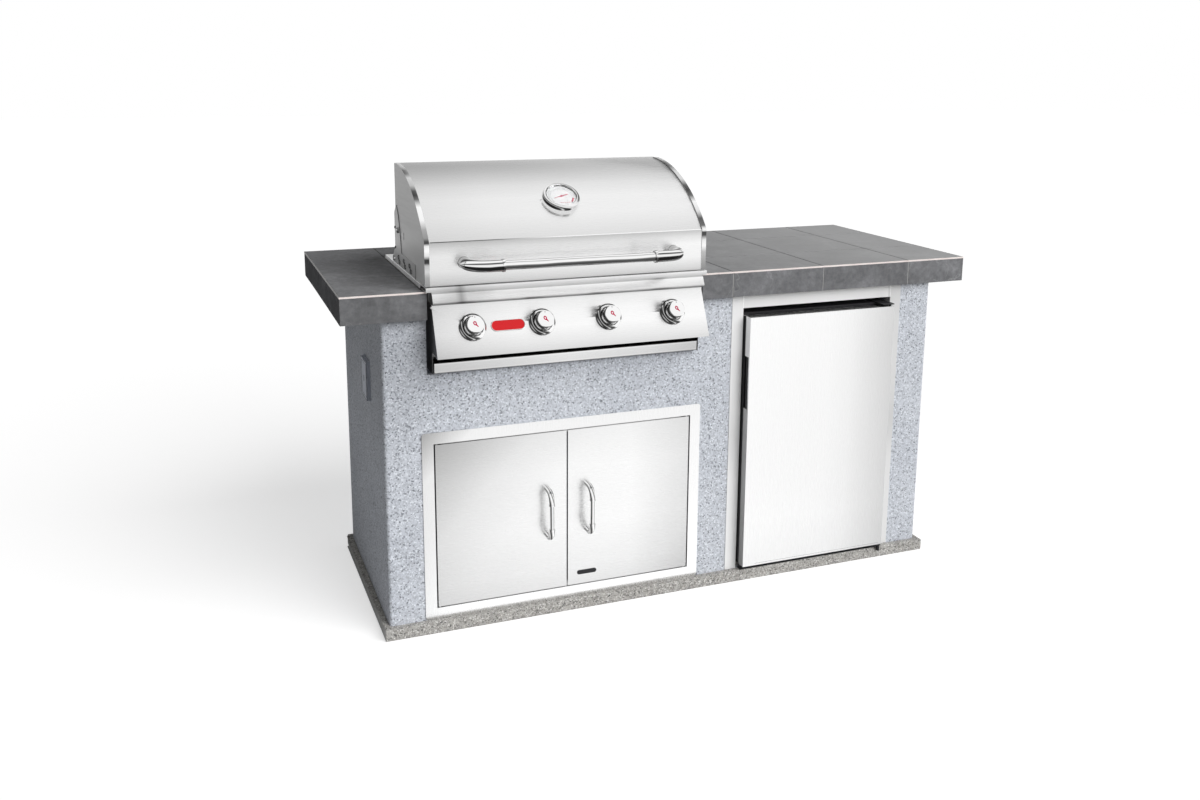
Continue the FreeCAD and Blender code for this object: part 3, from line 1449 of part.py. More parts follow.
def burners():
    """Four tube burners, the heat plates over them and the slotted cooking grates."""
    back = D.fire_back - D.grill_sheet
    start = D.fire_front - D.shelf_reach
    tubes = []
    plates = []
    for i, x in enumerate(KNOB_PLACES):
        neck = cylinder("burner_neck_%d" % i, D.burner_neck, back - start, (x, start, BURNER_Z), "y")
        body_y = D.fire_front + D.shelf_reach * 2
        body = cylinder(
            "burner_body_%d" % i,
            D.burner_radius,
            back - D.shelf_reach - body_y,
            (x, body_y, BURNER_Z),
            "y",
        )
        tubes.append(fuse("burner_%d" % i, neck, body))
        plates.append(flame_tamer(i, x))
    node("burners", group("burner_set", *tubes))
    node("flame_tamers", group("tamer_set", *plates))
    grates = []
    count = 4
    gap = D.grate_gap
    room = (D.fire_half - D.grill_sheet) * 2 - gap
    wide = room / count
    y0 = D.fire_front + D.grill_sheet + gap
    y1 = D.fire_back - D.grill_sheet - gap
    for i in range(count):
        left = D.grill_middle - room / 2 + wide * i + gap / 2
        grates.append(grate("grate_%d" % i, left, wide - gap, y0, y1))
    node("cooking_grates", group("grate_set", *grates))


def flame_tamer(i, x):
    """An inverted V of sheet steel that stands on the firebox's lower shelves."""
    half = D.tamer_half
    rise = D.tamer_rise
    sheet = D.tamer_sheet
    section = [
        (-half, 0),
        (0, rise),
        (half, 0),
        (half, sheet),
        (0, rise + sheet * 1.1),
        (-half, sheet),
    ]
    front = D.fire_front + D.grill_sheet * 2
    length = D.fire_back - D.grill_sheet * 2 - front
    body = padded("tamer_%d" % i, "XZ_Plane", [section], length)
    return place(body, x, front + length, TAMER_Z)


def grate(name, left, wide, y0, y1):
    """A cast cooking grate: a plate with long slots between its bars."""
    body = padded(name, "XY_Plane", [rectangle(0, wide, 0, y1 - y0)], D.grate_thick)
    border = D.grate_bar * 1.4
    pitch = D.grate_bar + D.grate_slot
    count = int((wide.value - border.value * 2 + D.grate_bar.value) // pitch.value)
    side = (wide - pitch * count + D.grate_bar) / 2
    slot = new_sketch(body, name + "_slot", "XY_Plane")
    draw_outline(slot, rectangle(side, side + D.grate_slot, border, y1 - y0 - border))
    pocket = body.newObject("PartDesign::Pocket", name + "_pocket")
    pocket.Profile = slot
    pocket.Type = "ThroughAll"
    pocket.Midplane = True
    pattern = body.newObject("PartDesign::LinearPattern", name + "_slots")
    pattern.Originals = [pocket]
    pattern.Direction = (slot, ["H_Axis"])
    bind(pattern, "Length", pitch * (count - 1))
    pattern.Occurrences = count
    body.Tip = pattern
    return place(body, left, y0, GRATE_Z)


def drip_tray():
    """The grease tray that slides out under the firebox, with a folded stainless front."""
    middle = D.grill_middle
    sheet = D.tray_sheet
    half = TRAY_HALF
    wide = (middle - half, middle + half)
    back = D.tray_front + D.tray_face_rise
    outer = box("tray_outer", wide, (back, D.tray_back), (TRAY_BOTTOM, TRAY_TOP - D.tray_face_rise))
    hollow_x = (wide[0] + sheet, wide[1] - sheet)
    hollow = box(
        "tray_hollow", hollow_x, (back + sheet, D.tray_back - sheet), (TRAY_BOTTOM + sheet, TRAY_TOP)
    )
    pan = cut("tray_pan", outer, hollow)
    face = box("tray_face", wide, (D.tray_front, D.tray_front + sheet), (TRAY_BOTTOM, TRAY_TOP))
    fold = box("tray_fold", wide, (D.tray_front, back + sheet), (TRAY_TOP - sheet, TRAY_TOP))
    hem = box("tray_hem", wide, (D.tray_front, back + sheet), (TRAY_BOTTOM, TRAY_BOTTOM + sheet))
    web = box("tray_web", wide, (back, back + sheet), (TRAY_BOTTOM, TRAY_TOP))
    node("drip_tray", fuse("tray_weld", pan, face, fold, hem, web))


def hood_form(name, inset, half):
    """The hood's solid form less an inset: front and back planes under an arch, between two sides."""
    middle = D.grill_middle
    wide = (middle - half, middle + half)
    radius = D.arch_radius - inset
    top = ARCH_Z + D.arch_radius
    block = box(
        name + "_block", wide, (D.hood_front + inset, D.hood_back - inset), (HOOD_BOTTOM - 1, top + 1)
    )
    start = (middle - half, D.arch_middle_y, ARCH_Z)
    arch = cylinder(name + "_arch", radius, half * 2, start, "x")
    return common(name, block, arch)


def hood():
    """The double-walled arched hood: apron, arch, banded side sheets, liner, handle and gauge."""
    middle = D.grill_middle
    sheet = D.hood_sheet
    side = D.hood_side_sheet
    clear = HOOD_HALF + D.band_width * 2
    inside = HOOD_HALF - side
    zero = Size.of(0)
    below = HOOD_BOTTOM - 50
    top = HOOD_SEAM + D.arch_radius
    everywhere = (D.hood_front - 50, D.hood_back + 50)
    wide = (middle - clear, middle + clear)
    behind = D.hood_back - D.pivot_y
    back_low = PIVOT_Z - root(hood_sweep() * hood_sweep() - behind * behind)

    skin = cut(
        "hood_skin", hood_form("hood_outside", zero, inside), hood_form("hood_inside", sheet, clear)
    )
    foot = box("hood_foot", wide, everywhere, (below, HOOD_BOTTOM))
    upper = box("above_seam", wide, everywhere, (HOOD_SEAM, top))
    rear_y = (D.pivot_y, D.hood_back + 50)
    rear_gap = box("hood_rear_gap", wide, rear_y, (below, back_low))
    rear = box("behind_pivot", wide, rear_y, (below, top))
    apron = cut("apron_cut", skin, upper, rear, foot)
    lip_y = (D.hood_front + sheet / 2, D.hood_front + D.hood_wall_gap)
    lip = box("apron_lip", (middle - inside, middle + inside), lip_y, (HOOD_BOTTOM, HOOD_BOTTOM + sheet))
    node("hood_apron", fuse("apron_weld", apron, lip))

    front_half = box("below_seam_front", wide, (D.hood_front - 50, D.pivot_y), (below, HOOD_SEAM))
    gauge_hole = gauge_cylinder("arch_gauge_hole", D.probe_radius + D.rest_gap)
    node("hood_arch", cut("arch_cut", skin, front_half, rear_gap, gauge_hole))

    gap = D.hood_wall_gap
    lining = cut(
        "lining_shell",
        hood_form("lining_outside", gap, inside),
        hood_form("lining_inside", gap + sheet, clear),
    )
    liner_foot = box("liner_foot", wide, everywhere, (below, HOOD_BOTTOM + sheet))
    liner_back = box("liner_back", wide, rear_y, (below, back_low))
    liner_hole = gauge_cylinder("liner_gauge_hole", D.probe_radius + D.rest_gap)
    node("hood_liner", cut("liner_hood_cut", lining, liner_foot, liner_back, liner_hole))

    hood_sides()
    handle = bow_handle(
        "hood_bar", D.bar_radius, D.bar_half, D.bar_collar, D.bar_standoff, D.bar_elbow, D.bar_bend
    )
    place(handle, middle, D.hood_front, HOOD_BOTTOM + D.bar_lift)
    node("hood_handle", handle)
    thermometer()


def hood_sweep():
    """How far from the pivot the hood's lower rear corner may reach to clear the deck."""
    return PIVOT_Z - HOOD_BOTTOM


def hood_sides():
    """The two side sheets, cut round below the pivot, each with a folded band over the hood's edge."""
    middle = D.grill_middle
    half = HOOD_HALF
    side = D.hood_side_sheet
    band = D.band_proud
    x = (middle + half - side, middle + half)
    zero = Size.of(0)
    slice_z = (HOOD_BOTTOM, PIVOT_Z * 2)
    side_slice = box("side_slice", x, (D.hood_front, D.hood_back), slice_z)
    plate = common("side_plate", hood_form("side_outline", zero, half), side_slice)
    rear_y = (D.pivot_y, D.hood_back + 1)
    sweep = hood_sweep()
    corner = box("side_corner", (x[0] - 1, x[1] + 1), rear_y, (HOOD_BOTTOM - 1, PIVOT_Z - sweep / 3))
    disc = cylinder("side_disc", sweep, side + 4, (x[0] - 2, D.pivot_y, PIVOT_Z), "x")
    bolt_hole = cylinder(
        "side_bolt_hole", D.pivot_bolt + D.running_gap, side + 4, (x[0] - 2, D.pivot_y, PIVOT_Z), "x"
    )
    sheet = cut("side_sheet", plate, cut("side_corner_cut", corner, disc), bolt_hole)
    grown = hood_form("band_outside", -band, half + band)
    core = hood_form("band_core", zero, half)
    ring = cut("band_ring", grown, core)
    keep_x = (middle + half - D.band_width, middle + half + band)
    keep_y = (D.hood_front - band, D.pivot_y + D.band_width)
    keep = box("band_keep", keep_x, keep_y, slice_z)
    edge = common("band_slice", ring, keep)
    trim_core = hood_form("band_trim", Size.of(D.band_width), half + band * 2)
    edge_face = cut("band_edge", edge, trim_core)
    right = fuse("side_right", sheet, edge_face)
    left = mirror("side_left", right, middle)
    node("hood_sides", group("side_pair", left, right))


def gauge_place(out):
    """Y and Z of a point on the thermometer's axis, a distance out from the arch."""
    reach = D.arch_radius + out
    return D.arch_middle_y - sine(D.gauge_angle) * reach, ARCH_Z + cosine(D.gauge_angle) * reach


def gauge_cylinder(name, radius):
    """A cylinder along the thermometer's axis through the hood's two walls."""
    y, z = gauge_place(-D.probe_length)
    rod = cylinder(name, radius, D.probe_length + 5, (0, 0, 0))
    return leaned(name, rod, D.grill_middle, y, z, D.gauge_angle)


def thermometer():
    """The hood thermometer: a case seated on the arch with its probe, a needle and a glass."""
    middle = D.grill_middle
    radius = D.gauge_radius
    high = D.gauge_height
    face = D.gauge_face
    bore = radius - D.gauge_rim
    pin = D.gauge_rim / 6
    ring = [
        (0, -5),
        (radius, -5),
        (radius, high - 6),
        (radius - 1.5, high - 2.5),
        (radius - 5, high),
        (bore, high),
        (bore, face),
        (pin, face),
        (pin, face + 3.5),
        (0, face + 3.5),
    ]
    y, z = gauge_place(0)
    case = leaned("gauge_case", turned("gauge_case", ring), middle, y, z, D.gauge_angle)
    start = (middle - radius * 2, D.arch_middle_y, ARCH_Z)
    arch = cylinder("gauge_seat", D.arch_radius, radius * 4, start, "x")
    probe_y, probe_z = gauge_place(-D.probe_length + 5)
    probe = cylinder("gauge_probe", D.probe_radius, D.probe_length - 1, (0, 0, 0))
    probe = leaned("gauge_probe", probe, middle, probe_y, probe_z, D.gauge_angle)
    node("thermometer_case", fuse("gauge_weld", cut("gauge_cut", case, arch), probe))

    hub = pin + D.running_gap
    low = face + 1
    disc = turned("needle_hub", [(hub, 0), (pin * 3, 0), (pin * 3, 1.2), (hub, 1.2)])
    arm = padded("needle_arm", "XY_Plane", [needle_outline(pin)], Size.of(0.8))
    needle = fuse("needle_weld", disc, arm)
    y, z = gauge_place(low)
    node("thermometer_needle", leaned("needle", needle, middle, y, z, D.gauge_angle))
    glass = turned("gauge_glass", [(0, 0), (bore - 0.1, 0), (bore - 0.1, 1.6), (0, 1.6)])
    y, z = gauge_place(face + 4.2)
    node("thermometer_glass", leaned("glass", glass, middle, y, z, D.gauge_angle))


def needle_outline(pin):
    """A thin pointer and its tail, cut clear of the pin."""
    tip = D.needle_length
    root_x = pin * 2
    return [(root_x, -1.2), (tip, -0.4), (tip, 0.4), (root_x, 1.2)]


def check_and_write():
    """Stops if any object failed or any sub-part is not a sound solid, then writes one file for each."""
    DOC.recompute()
    failed = []
    for thing in DOC.Objects:
        if "Invalid" in thing.State or "Error" in thing.State:
            failed.append("%s (%s)" % (thing.Label, thing.State))
    for thing in NODES:
        shape = thing.Shape
        if shape.isNull() or not shape.isValid() or not shape.Solids:
            failed.append(thing.Label + " has no sound solid")
    labels = [thing.Label for thing in NODES]
    if len(set(labels)) != len(labels):
        failed.append("two sub-parts share a label")
    if failed:
        raise RuntimeError("; ".join(failed))
    os.makedirs("parts", exist_ok=True)
    for thing in NODES:
        thing.Shape.exportStep(os.path.join("parts", thing.Label + ".step"))
    print(len(NODES), "sub-parts written")


base_shell()
steel_frame()
counter()
outlet()
storage_doors()
fridge_surround()
refrigerator()
grill_body()
control_panel()
burners()
drip_tray()
hood()
check_and_write()
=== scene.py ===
import json
import math

import bmesh
import bpy
from mathutils import Matrix, Vector

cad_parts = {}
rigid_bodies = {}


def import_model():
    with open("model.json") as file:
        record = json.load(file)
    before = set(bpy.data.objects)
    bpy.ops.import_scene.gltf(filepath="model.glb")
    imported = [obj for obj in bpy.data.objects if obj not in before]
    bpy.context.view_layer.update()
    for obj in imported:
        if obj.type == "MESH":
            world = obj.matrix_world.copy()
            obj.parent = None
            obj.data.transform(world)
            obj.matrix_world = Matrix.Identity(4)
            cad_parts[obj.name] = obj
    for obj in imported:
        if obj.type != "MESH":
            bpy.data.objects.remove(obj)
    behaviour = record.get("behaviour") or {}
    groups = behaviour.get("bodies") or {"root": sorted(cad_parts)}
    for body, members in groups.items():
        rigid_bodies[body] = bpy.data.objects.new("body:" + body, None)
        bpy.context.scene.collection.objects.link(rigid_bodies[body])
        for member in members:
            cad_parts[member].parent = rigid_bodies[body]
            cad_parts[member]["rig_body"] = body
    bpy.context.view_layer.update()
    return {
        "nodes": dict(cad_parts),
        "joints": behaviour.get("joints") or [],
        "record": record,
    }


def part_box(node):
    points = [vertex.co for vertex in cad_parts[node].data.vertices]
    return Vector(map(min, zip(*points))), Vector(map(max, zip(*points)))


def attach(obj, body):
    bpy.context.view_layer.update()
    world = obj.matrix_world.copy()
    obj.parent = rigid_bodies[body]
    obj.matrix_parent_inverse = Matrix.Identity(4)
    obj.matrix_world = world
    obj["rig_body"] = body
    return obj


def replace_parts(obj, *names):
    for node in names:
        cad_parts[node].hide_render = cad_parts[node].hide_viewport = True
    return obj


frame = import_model()

MM = 0.001
PI = math.pi
ACROSS = (1.0, 0.0, 0.0)
DEEP = (0.0, 1.0, 0.0)
UP = (0.0, 0.0, 1.0)
SIDES = (("left", -1), ("right", 1))

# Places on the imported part, in mm, read from the frame


class Extent:
    """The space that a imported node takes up, in mm."""

    def __init__(self, node_name):
        lowest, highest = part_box(node_name)
        self.left, self.front, self.low = [round(value / MM, 2) for value in lowest]
        self.right, self.back, self.high = [round(value / MM, 2) for value in highest]


def joint(name):
    """A joint's row in the frame, and its place in mm."""
    row = next(each for each in frame["joints"] if each["name"] == name)
    return row, [round(value / MM, 3) for value in row["pos_m"]]


COUNTER = Extent("edge_trim")
LEDGE_SPAN = Extent("front_ledge")
RAILS = Extent("trim_rails")
APRON_SPAN = Extent("hood_apron")
HANDLE = Extent("hood_handle")
STORAGE_DOOR = Extent("door_left")
FRIDGE = Extent("fridge_door_skin")
GRIP = Extent("fridge_door_grip")
SURROUND = Extent("fridge_frame")
COVER = Extent("outlet_lid")

# The grill's middle across, the hood's pivots, and distances out from that middle

GRILL_X, PIVOT_Y, PIVOT_Z = joint("hood_lift")[1]
BOLT_HEAD = 4
EAR_OUT = Extent("side_ears").right - GRILL_X - BOLT_HEAD
BAND_PROUD = 2
HOOD_OUT = Extent("hood_sides").right - GRILL_X - BAND_PROUD
COLLAR_OUT = 217

# The axis of the handle's bar, and the upper line of the edge tiles

BAR_RADIUS = 17
BAR_Y, BAR_Z = HANDLE.front + BAR_RADIUS, (HANDLE.low + HANDLE.high) / 2
TILE_EDGE = COUNTER.high - 4.5


# Node helpers


class Shader:
    """One material with short calls for the nodes it is made of."""

    def __init__(self, name, metallic=0.0, roughness=0.5, **constants):
        self.material = bpy.data.materials.new(name)
        self.material.use_nodes = True
        self.tree = self.material.node_tree
        self.tree.nodes.clear()
        output = self.tree.nodes.new("ShaderNodeOutputMaterial")
        self.surface = self.tree.nodes.new("ShaderNodeBsdfPrincipled")
        self.tree.links.new(self.surface.outputs[0], output.inputs["Surface"])
        self.surface.inputs["Metallic"].default_value = metallic
        self.surface.inputs["Roughness"].default_value = roughness
        for socket, value in constants.items():
            self.surface.inputs[socket.replace("_", " ")].default_value = value
        self.place = self.add("ShaderNodeTexCoord").outputs["Object"]

    def add(self, kind, **values):
        node = self.tree.nodes.new(kind)
        for key, value in values.items():
            setattr(node, key, value)
        return node

    def feed(self, socket, value):
        if isinstance(value, bpy.types.NodeSocket):
            self.tree.links.new(value, socket)
        elif value is not None:
            socket.default_value = value

    def stretched(self, x, y, z):
        """The place on the object, drawn out by a factor each way."""
        node = self.add("ShaderNodeMapping")
        self.feed(node.inputs["Vector"], self.place)
        node.inputs["Scale"].default_value = (x, y, z)
        return node.outputs[0]

    def noise(self, scale, detail=4.0, rough=0.5, bend=0.0, at=None):
        """Clouds from 0 to 1, finer with a larger scale."""
        node = self.add("ShaderNodeTexNoise")
        self.feed(node.inputs["Vector"], at or self.place)
        node.inputs["Scale"].default_value = scale
        node.inputs["Detail"].default_value = detail
        node.inputs["Roughness"].default_value = rough
        node.inputs["Distortion"].default_value = bend
        return node.outputs["Fac"]

    def cells(self, scale):
        """Round cells: how far each spot is from the middle of its cell, and a colour for each cell."""
        node = self.add("ShaderNodeTexVoronoi")
        self.feed(node.inputs["Vector"], self.place)
        node.inputs["Scale"].default_value = scale
        return node.outputs["Distance"], node.outputs["Color"]

    def parts(self, vector):
        """X, Y and Z of a vector."""
        node = self.add("ShaderNodeSeparateXYZ")
        self.feed(node.inputs[0], vector)
        return node.outputs[0], node.outputs[1], node.outputs[2]

    def toward(self, vector, way):
        """How far a vector reaches one way."""
        node = self.add("ShaderNodeVectorMath", operation="DOT_PRODUCT")
        self.feed(node.inputs[0], vector)
        node.inputs[1].default_value = way
        return node.outputs["Value"]

    def tones(self, way, *stops):
        """Greys that change along one way, from pairs of mm and level on screen."""
        low, high = stops[0][0], stops[-1][0]
        place = self.fit(self.toward(self.place, way), low * MM, high * MM)
        return self.ramp(place, *[((at - low) / (high - low), tone(level)) for at, level in stops])

    def math(self, kind, first, second=None):
        node = self.add("ShaderNodeMath", operation=kind)
        self.feed(node.inputs[0], first)
        self.feed(node.inputs[1], second)
        return node.outputs[0]

    def fit(self, value, low, high, to_low=0.0, to_high=1.0):
        """A value brought from one range to another, and held inside it."""
        node = self.add("ShaderNodeMapRange")
        self.feed(node.inputs["Value"], value)
        node.inputs["From Min"].default_value = low
        node.inputs["From Max"].default_value = high
        node.inputs["To Min"].default_value = to_low
        node.inputs["To Max"].default_value = to_high
        return node.outputs[0]

    def ramp(self, value, *stops, steps=False):
        """A colour by a value, from pairs of value and colour, blended or in steps."""
        node = self.add("ShaderNodeValToRGB")
        self.feed(node.inputs[0], value)
        ramp = node.color_ramp
        ramp.interpolation = "CONSTANT" if steps else "LINEAR"
        while len(ramp.elements) < len(stops):
            ramp.elements.new(0.5)
        for element, (at, colour) in zip(ramp.elements, stops):
            element.position = at
            element.color = (*colour, 1.0)
        return node.outputs[0]

    def mix(self, amount, first, second, kind="MIX"):
        node = self.add("ShaderNodeMix", data_type="RGBA", blend_type=kind)
        self.feed(node.inputs["Factor"], amount)
        for socket, value in zip((node.inputs[6], node.inputs[7]), (first, second)):
            self.feed(socket, (*value, 1.0) if isinstance(value, tuple) else value)
        return node.outputs[2]

    def colour(self, value):
        self.feed(self.surface.inputs["Base Color"], value)

    def rough(self, value):
        self.feed(self.surface.inputs["Roughness"], value)

    def bump(self, height, strength, reach):
        """Fine relief, laid over any relief that is there already."""
        node = self.add("ShaderNodeBump")
        self.feed(node.inputs["Height"], height)
        node.inputs["Strength"].default_value = strength
        node.inputs["Distance"].default_value = reach
        previous = self.surface.inputs["Normal"]
        if previous.links:
            self.feed(node.inputs["Normal"], previous.links[0].from_socket)
        self.feed(previous, node.outputs[0])


def grey(level, warm=0.0):
    """A grey of a linear level, warmer with more red and less blue."""
    return (level * (1 + warm), level, level * (1 - warm))


def tone(level, warm=0.0):
    """A grey from its level on screen, 0 to 255."""
    return grey(((level / 255 + 0.055) / 1.055) ** 2.4, warm)


# Materials


def speckled(name, dark, middle, light, pale, scale, lump, left=0.0, corner_shade=None):
    """Troweled stucco with fine dark and light grit; it can take painted shade towards the top left and
    painted light on faces that face left.
    """
    s = Shader(name, roughness=0.85, Specular_IOR_Level=0.06)
    near, tint = s.cells(scale)
    pick = s.parts(tint)[0]
    grit = s.ramp(pick, (0.0, dark), (0.09, middle), (0.4, light), (0.88, pale), steps=True)
    blur = s.noise(scale * 0.6, 3.0, 0.7)
    soft = s.mix(s.fit(blur, 0.35, 0.65, 0.0, 0.55), grit, light)
    patch = s.noise(4.0, 3.0, 0.6)
    clouded = s.mix(0.14, soft, s.ramp(patch, (0.3, grey(0.35)), (0.7, grey(0.7))), "OVERLAY")
    # Painted shade: the colour multiplied darker towards the top left, where the counter shades the wall
    if corner_shade:
        clouded = s.mix(1.0, clouded, s.tones(*corner_shade), "MULTIPLY")
    # Painted light: faces that face left are mixed towards a pale grey
    if left > 0:
        facing = s.toward(s.add("ShaderNodeTexCoord").outputs["Normal"], (-1.0, 0.0, 0.0))
        clouded = s.mix(s.fit(facing, 0.5, 0.9, 0.0, left), clouded, grey(0.8))
    s.colour(clouded)
    s.rough(s.fit(blur, 0.2, 0.8, 0.75, 0.95))
    s.bump(s.math("ADD", s.fit(near, 0.0, 0.7), blur), lump, 0.0008)
    s.bump(s.noise(60.0, 3.0, 0.6), 0.25, 0.0012)
    return s.material


def steel(name, grain, roughness, *painted_layers, metallic=1.0):
    """Brushed stainless steel: fine lines one way, under painted greys that change slowly along it and
    stand for its reflections and shade.
    """
    s = Shader(name, metallic=metallic, roughness=roughness, Specular_IOR_Level=0.2)
    fine, long = 1400.0, 9.0
    scale = {"x": (long, fine, fine), "y": (fine, long, fine), "z": (fine, fine, long)}[grain]
    lines = s.noise(1.0, 3.0, 0.6, at=s.stretched(*scale))
    # Painted reflections and shade: greys by place along one way, each multiplied over the one before
    base = s.tones(*painted_layers[0])
    for painted_layer in painted_layers[1:]:
        base = s.mix(1.0, base, s.tones(*painted_layer), "MULTIPLY")
    cloud = s.ramp(s.noise(1.8, 2.0, 0.5), (0.3, grey(0.46)), (0.7, grey(0.54)))
    clouded = s.mix(0.5, base, cloud, "OVERLAY")
    s.colour(s.mix(0.1, clouded, s.ramp(lines, (0.3, grey(0.3)), (0.7, grey(0.7))), "OVERLAY"))
    s.rough(s.fit(lines, 0.3, 0.7, roughness - 0.06, roughness + 0.08))
    s.bump(lines, 0.06, 0.0002)
    return s.material


def polished(name, facing, roughness, *stops):
    """Polished steel with painted reflections: bright and dark bands by the way each spot of it faces."""
    s = Shader(name, metallic=1.0, roughness=roughness)
    reach = s.toward(s.add("ShaderNodeTexCoord").outputs["Normal"], facing)
    wave = s.fit(s.noise(9.0, 2.0, 0.5), 0.3, 0.7, -0.06, 0.06)
    height = s.fit(s.math("ADD", reach, wave), -1.0, 1.0)
    s.colour(s.ramp(height, *[((at + 1) / 2, tone(level)) for at, level in stops]))
    s.rough(s.fit(s.noise(900.0), 0.3, 0.7, roughness * 0.8, roughness * 1.3))
    return s.material


def polished_bar(name, roughness, *stops):
    """Polished steel of a level bar, with painted reflections: bands by degrees round it from the top."""
    s = Shader(name, metallic=1.0, roughness=roughness)
    normal = s.add("ShaderNodeTexCoord").outputs["Normal"]
    front = s.toward(normal, (0.0, -1.0, 0.0))
    turn = s.math("ARCTAN2", front, s.toward(normal, UP))
    wave = s.fit(s.noise(7.0, 2.0, 0.5), 0.3, 0.7, -0.1, 0.1)
    around = s.fit(s.math("ADD", turn, wave), -PI, PI)
    s.colour(s.ramp(around, *[((at + 180) / 360, tone(level)) for at, level in stops]))
    s.rough(s.fit(s.noise(900.0), 0.3, 0.7, roughness * 0.8, roughness * 1.3))
    return s.material


def stone_tile(name):
    """Dark grey porcelain with clouds and thin pale veins, with a painted sheen over the top to the right
    and painted shade on the other faces to the left.
    """
    s = Shader(name, roughness=0.5, Specular_IOR_Level=0.0)
    across = s.parts(s.place)[0]
    cloud = s.noise(7.0, 9.0, 0.62, 0.6)
    fine = s.noise(70.0, 6.0, 0.65)
    dark, middle, light = (0.128, 0.129, 0.134), (0.172, 0.174, 0.181), (0.245, 0.247, 0.256)
    base = s.ramp(cloud, (0.28, dark), (0.5, middle), (0.72, light))
    grained = s.mix(0.4, base, s.ramp(fine, (0.3, grey(0.25)), (0.7, grey(0.75))), "OVERLAY")
    ridge = s.math("ABSOLUTE", s.math("SUBTRACT", s.noise(3.4, 4.0, 0.55, 1.4), 0.5))
    faint = s.fit(s.noise(5.0, 2.0, 0.5), 0.45, 0.7)
    vein = s.math("MULTIPLY", s.fit(ridge, 0.0, 0.006, 1.0, 0.0), faint)
    level = s.fit(s.toward(s.add("ShaderNodeTexCoord").outputs["Normal"], UP), 0.3, 0.9)
    # Painted sheen: faces on top mixed towards pale grey, more so to the right
    sheen = s.math("MULTIPLY", s.fit(across, -0.4, 0.8, 0.12, 0.58), level)
    # Painted shade: faces that are not on top darkened towards the left
    shade = s.math("MULTIPLY", s.fit(level, 0.0, 1.0, 1.0, 0.0), s.fit(across, -0.8, 0.5, 0.3, 0.0))
    toned = s.mix(sheen, s.mix(shade, grained, grey(0.06)), grey(0.64))
    s.colour(s.mix(s.math("MULTIPLY", vein, 0.5), toned, grey(0.42)))
    s.rough(s.fit(fine, 0.3, 0.7, 0.42, 0.58))
    s.bump(s.noise(140.0, 5.0, 0.6), 0.12, 0.0004)
    return s.material


def edge_strip(name):
    """The counter's thin edge strip: pale along the front, with painted shade in dark grey down the sides
    and the back.
    """
    s = Shader(name, roughness=0.45)
    front = s.fit(s.parts(s.place)[1], -0.3462, -0.3458, 1.0, 0.0)
    worn = s.ramp(s.noise(30.0, 4.0, 0.6), (0.3, (0.76, 0.67, 0.64)), (0.7, (0.88, 0.81, 0.78)))
    # Painted shade: away from the front the strip takes a dark grey in place of its pale colour
    s.colour(s.mix(front, tone(82, 0.03), worn))
    s.rough(s.fit(s.noise(400.0), 0.3, 0.7, 0.4, 0.55))
    return s.material


def plain(name, colour, roughness=0.5, metallic=0.0, grain=220.0, depth=0.1, swing=0.12, **constants):
    """Moulded, cast or painted stuff with a fine texture and slightly uneven colour."""
    s = Shader(name, metallic=metallic, roughness=roughness, **constants)
    dark = tuple(c * (1 - swing) for c in colour)
    light = tuple(min(1.0, c * (1 + swing)) for c in colour)
    texture = s.noise(grain, 4.0, 0.6)
    s.colour(s.ramp(s.noise(6.0, 4.0, 0.6), (0.3, dark), (0.7, light)))
    s.rough(s.fit(texture, 0.3, 0.7, max(roughness - 0.06, 0.02), min(roughness + 0.08, 1.0)))
    s.bump(texture, depth, 0.0004)
    return s.material


def clear_glass(name):
    """Clear glass for the thermometer's cover."""
    s = Shader(name, roughness=0.03, Transmission_Weight=1.0, IOR=1.45)
    s.colour(s.ramp(s.noise(12.0), (0.3, (0.97, 0.98, 0.98)), (0.7, (1.0, 1.0, 1.0))))
    s.rough(s.fit(s.noise(300.0), 0.3, 0.7, 0.02, 0.05))
    return s.material


LEFTWARD_UP = (-0.7071, 0.0, 0.7071)
RIGHTWARD_DOWN = (0.7071, 0.0, -0.7071)
# Painted shade over the top left of the stucco, under the counter beside the grill
LEFT_CORNER_SHADE = (LEFTWARD_UP, (930, 255), (1150, 226))
STUCCO = speckled(
    "stucco",
    (0.15, 0.16, 0.18),
    (0.42, 0.44, 0.48),
    (0.57, 0.595, 0.645),
    (0.76, 0.79, 0.84),
    scale=270.0,
    lump=0.4,
    corner_shade=LEFT_CORNER_SHADE,
)
PLINTH = speckled(
    "plinth",
    (0.08, 0.08, 0.08),
    (0.26, 0.25, 0.235),
    (0.42, 0.41, 0.39),
    (0.7, 0.69, 0.67),
    scale=300.0,
    lump=0.6,
    # painted light on the faces that face left
    left=0.45,
)
BOARD = plain("cement_board", (0.42, 0.41, 0.39), 0.9, grain=90.0, depth=0.4)
TUBE = plain("galvanised_tube", (0.5, 0.51, 0.52), 0.42, 0.9, grain=70.0)
TILE = stone_tile("stone_tile")
TRIM = edge_strip("tile_trim")
GROUT = plain("grout", tone(118, 0.02), 0.95, grain=700.0, depth=0.6)

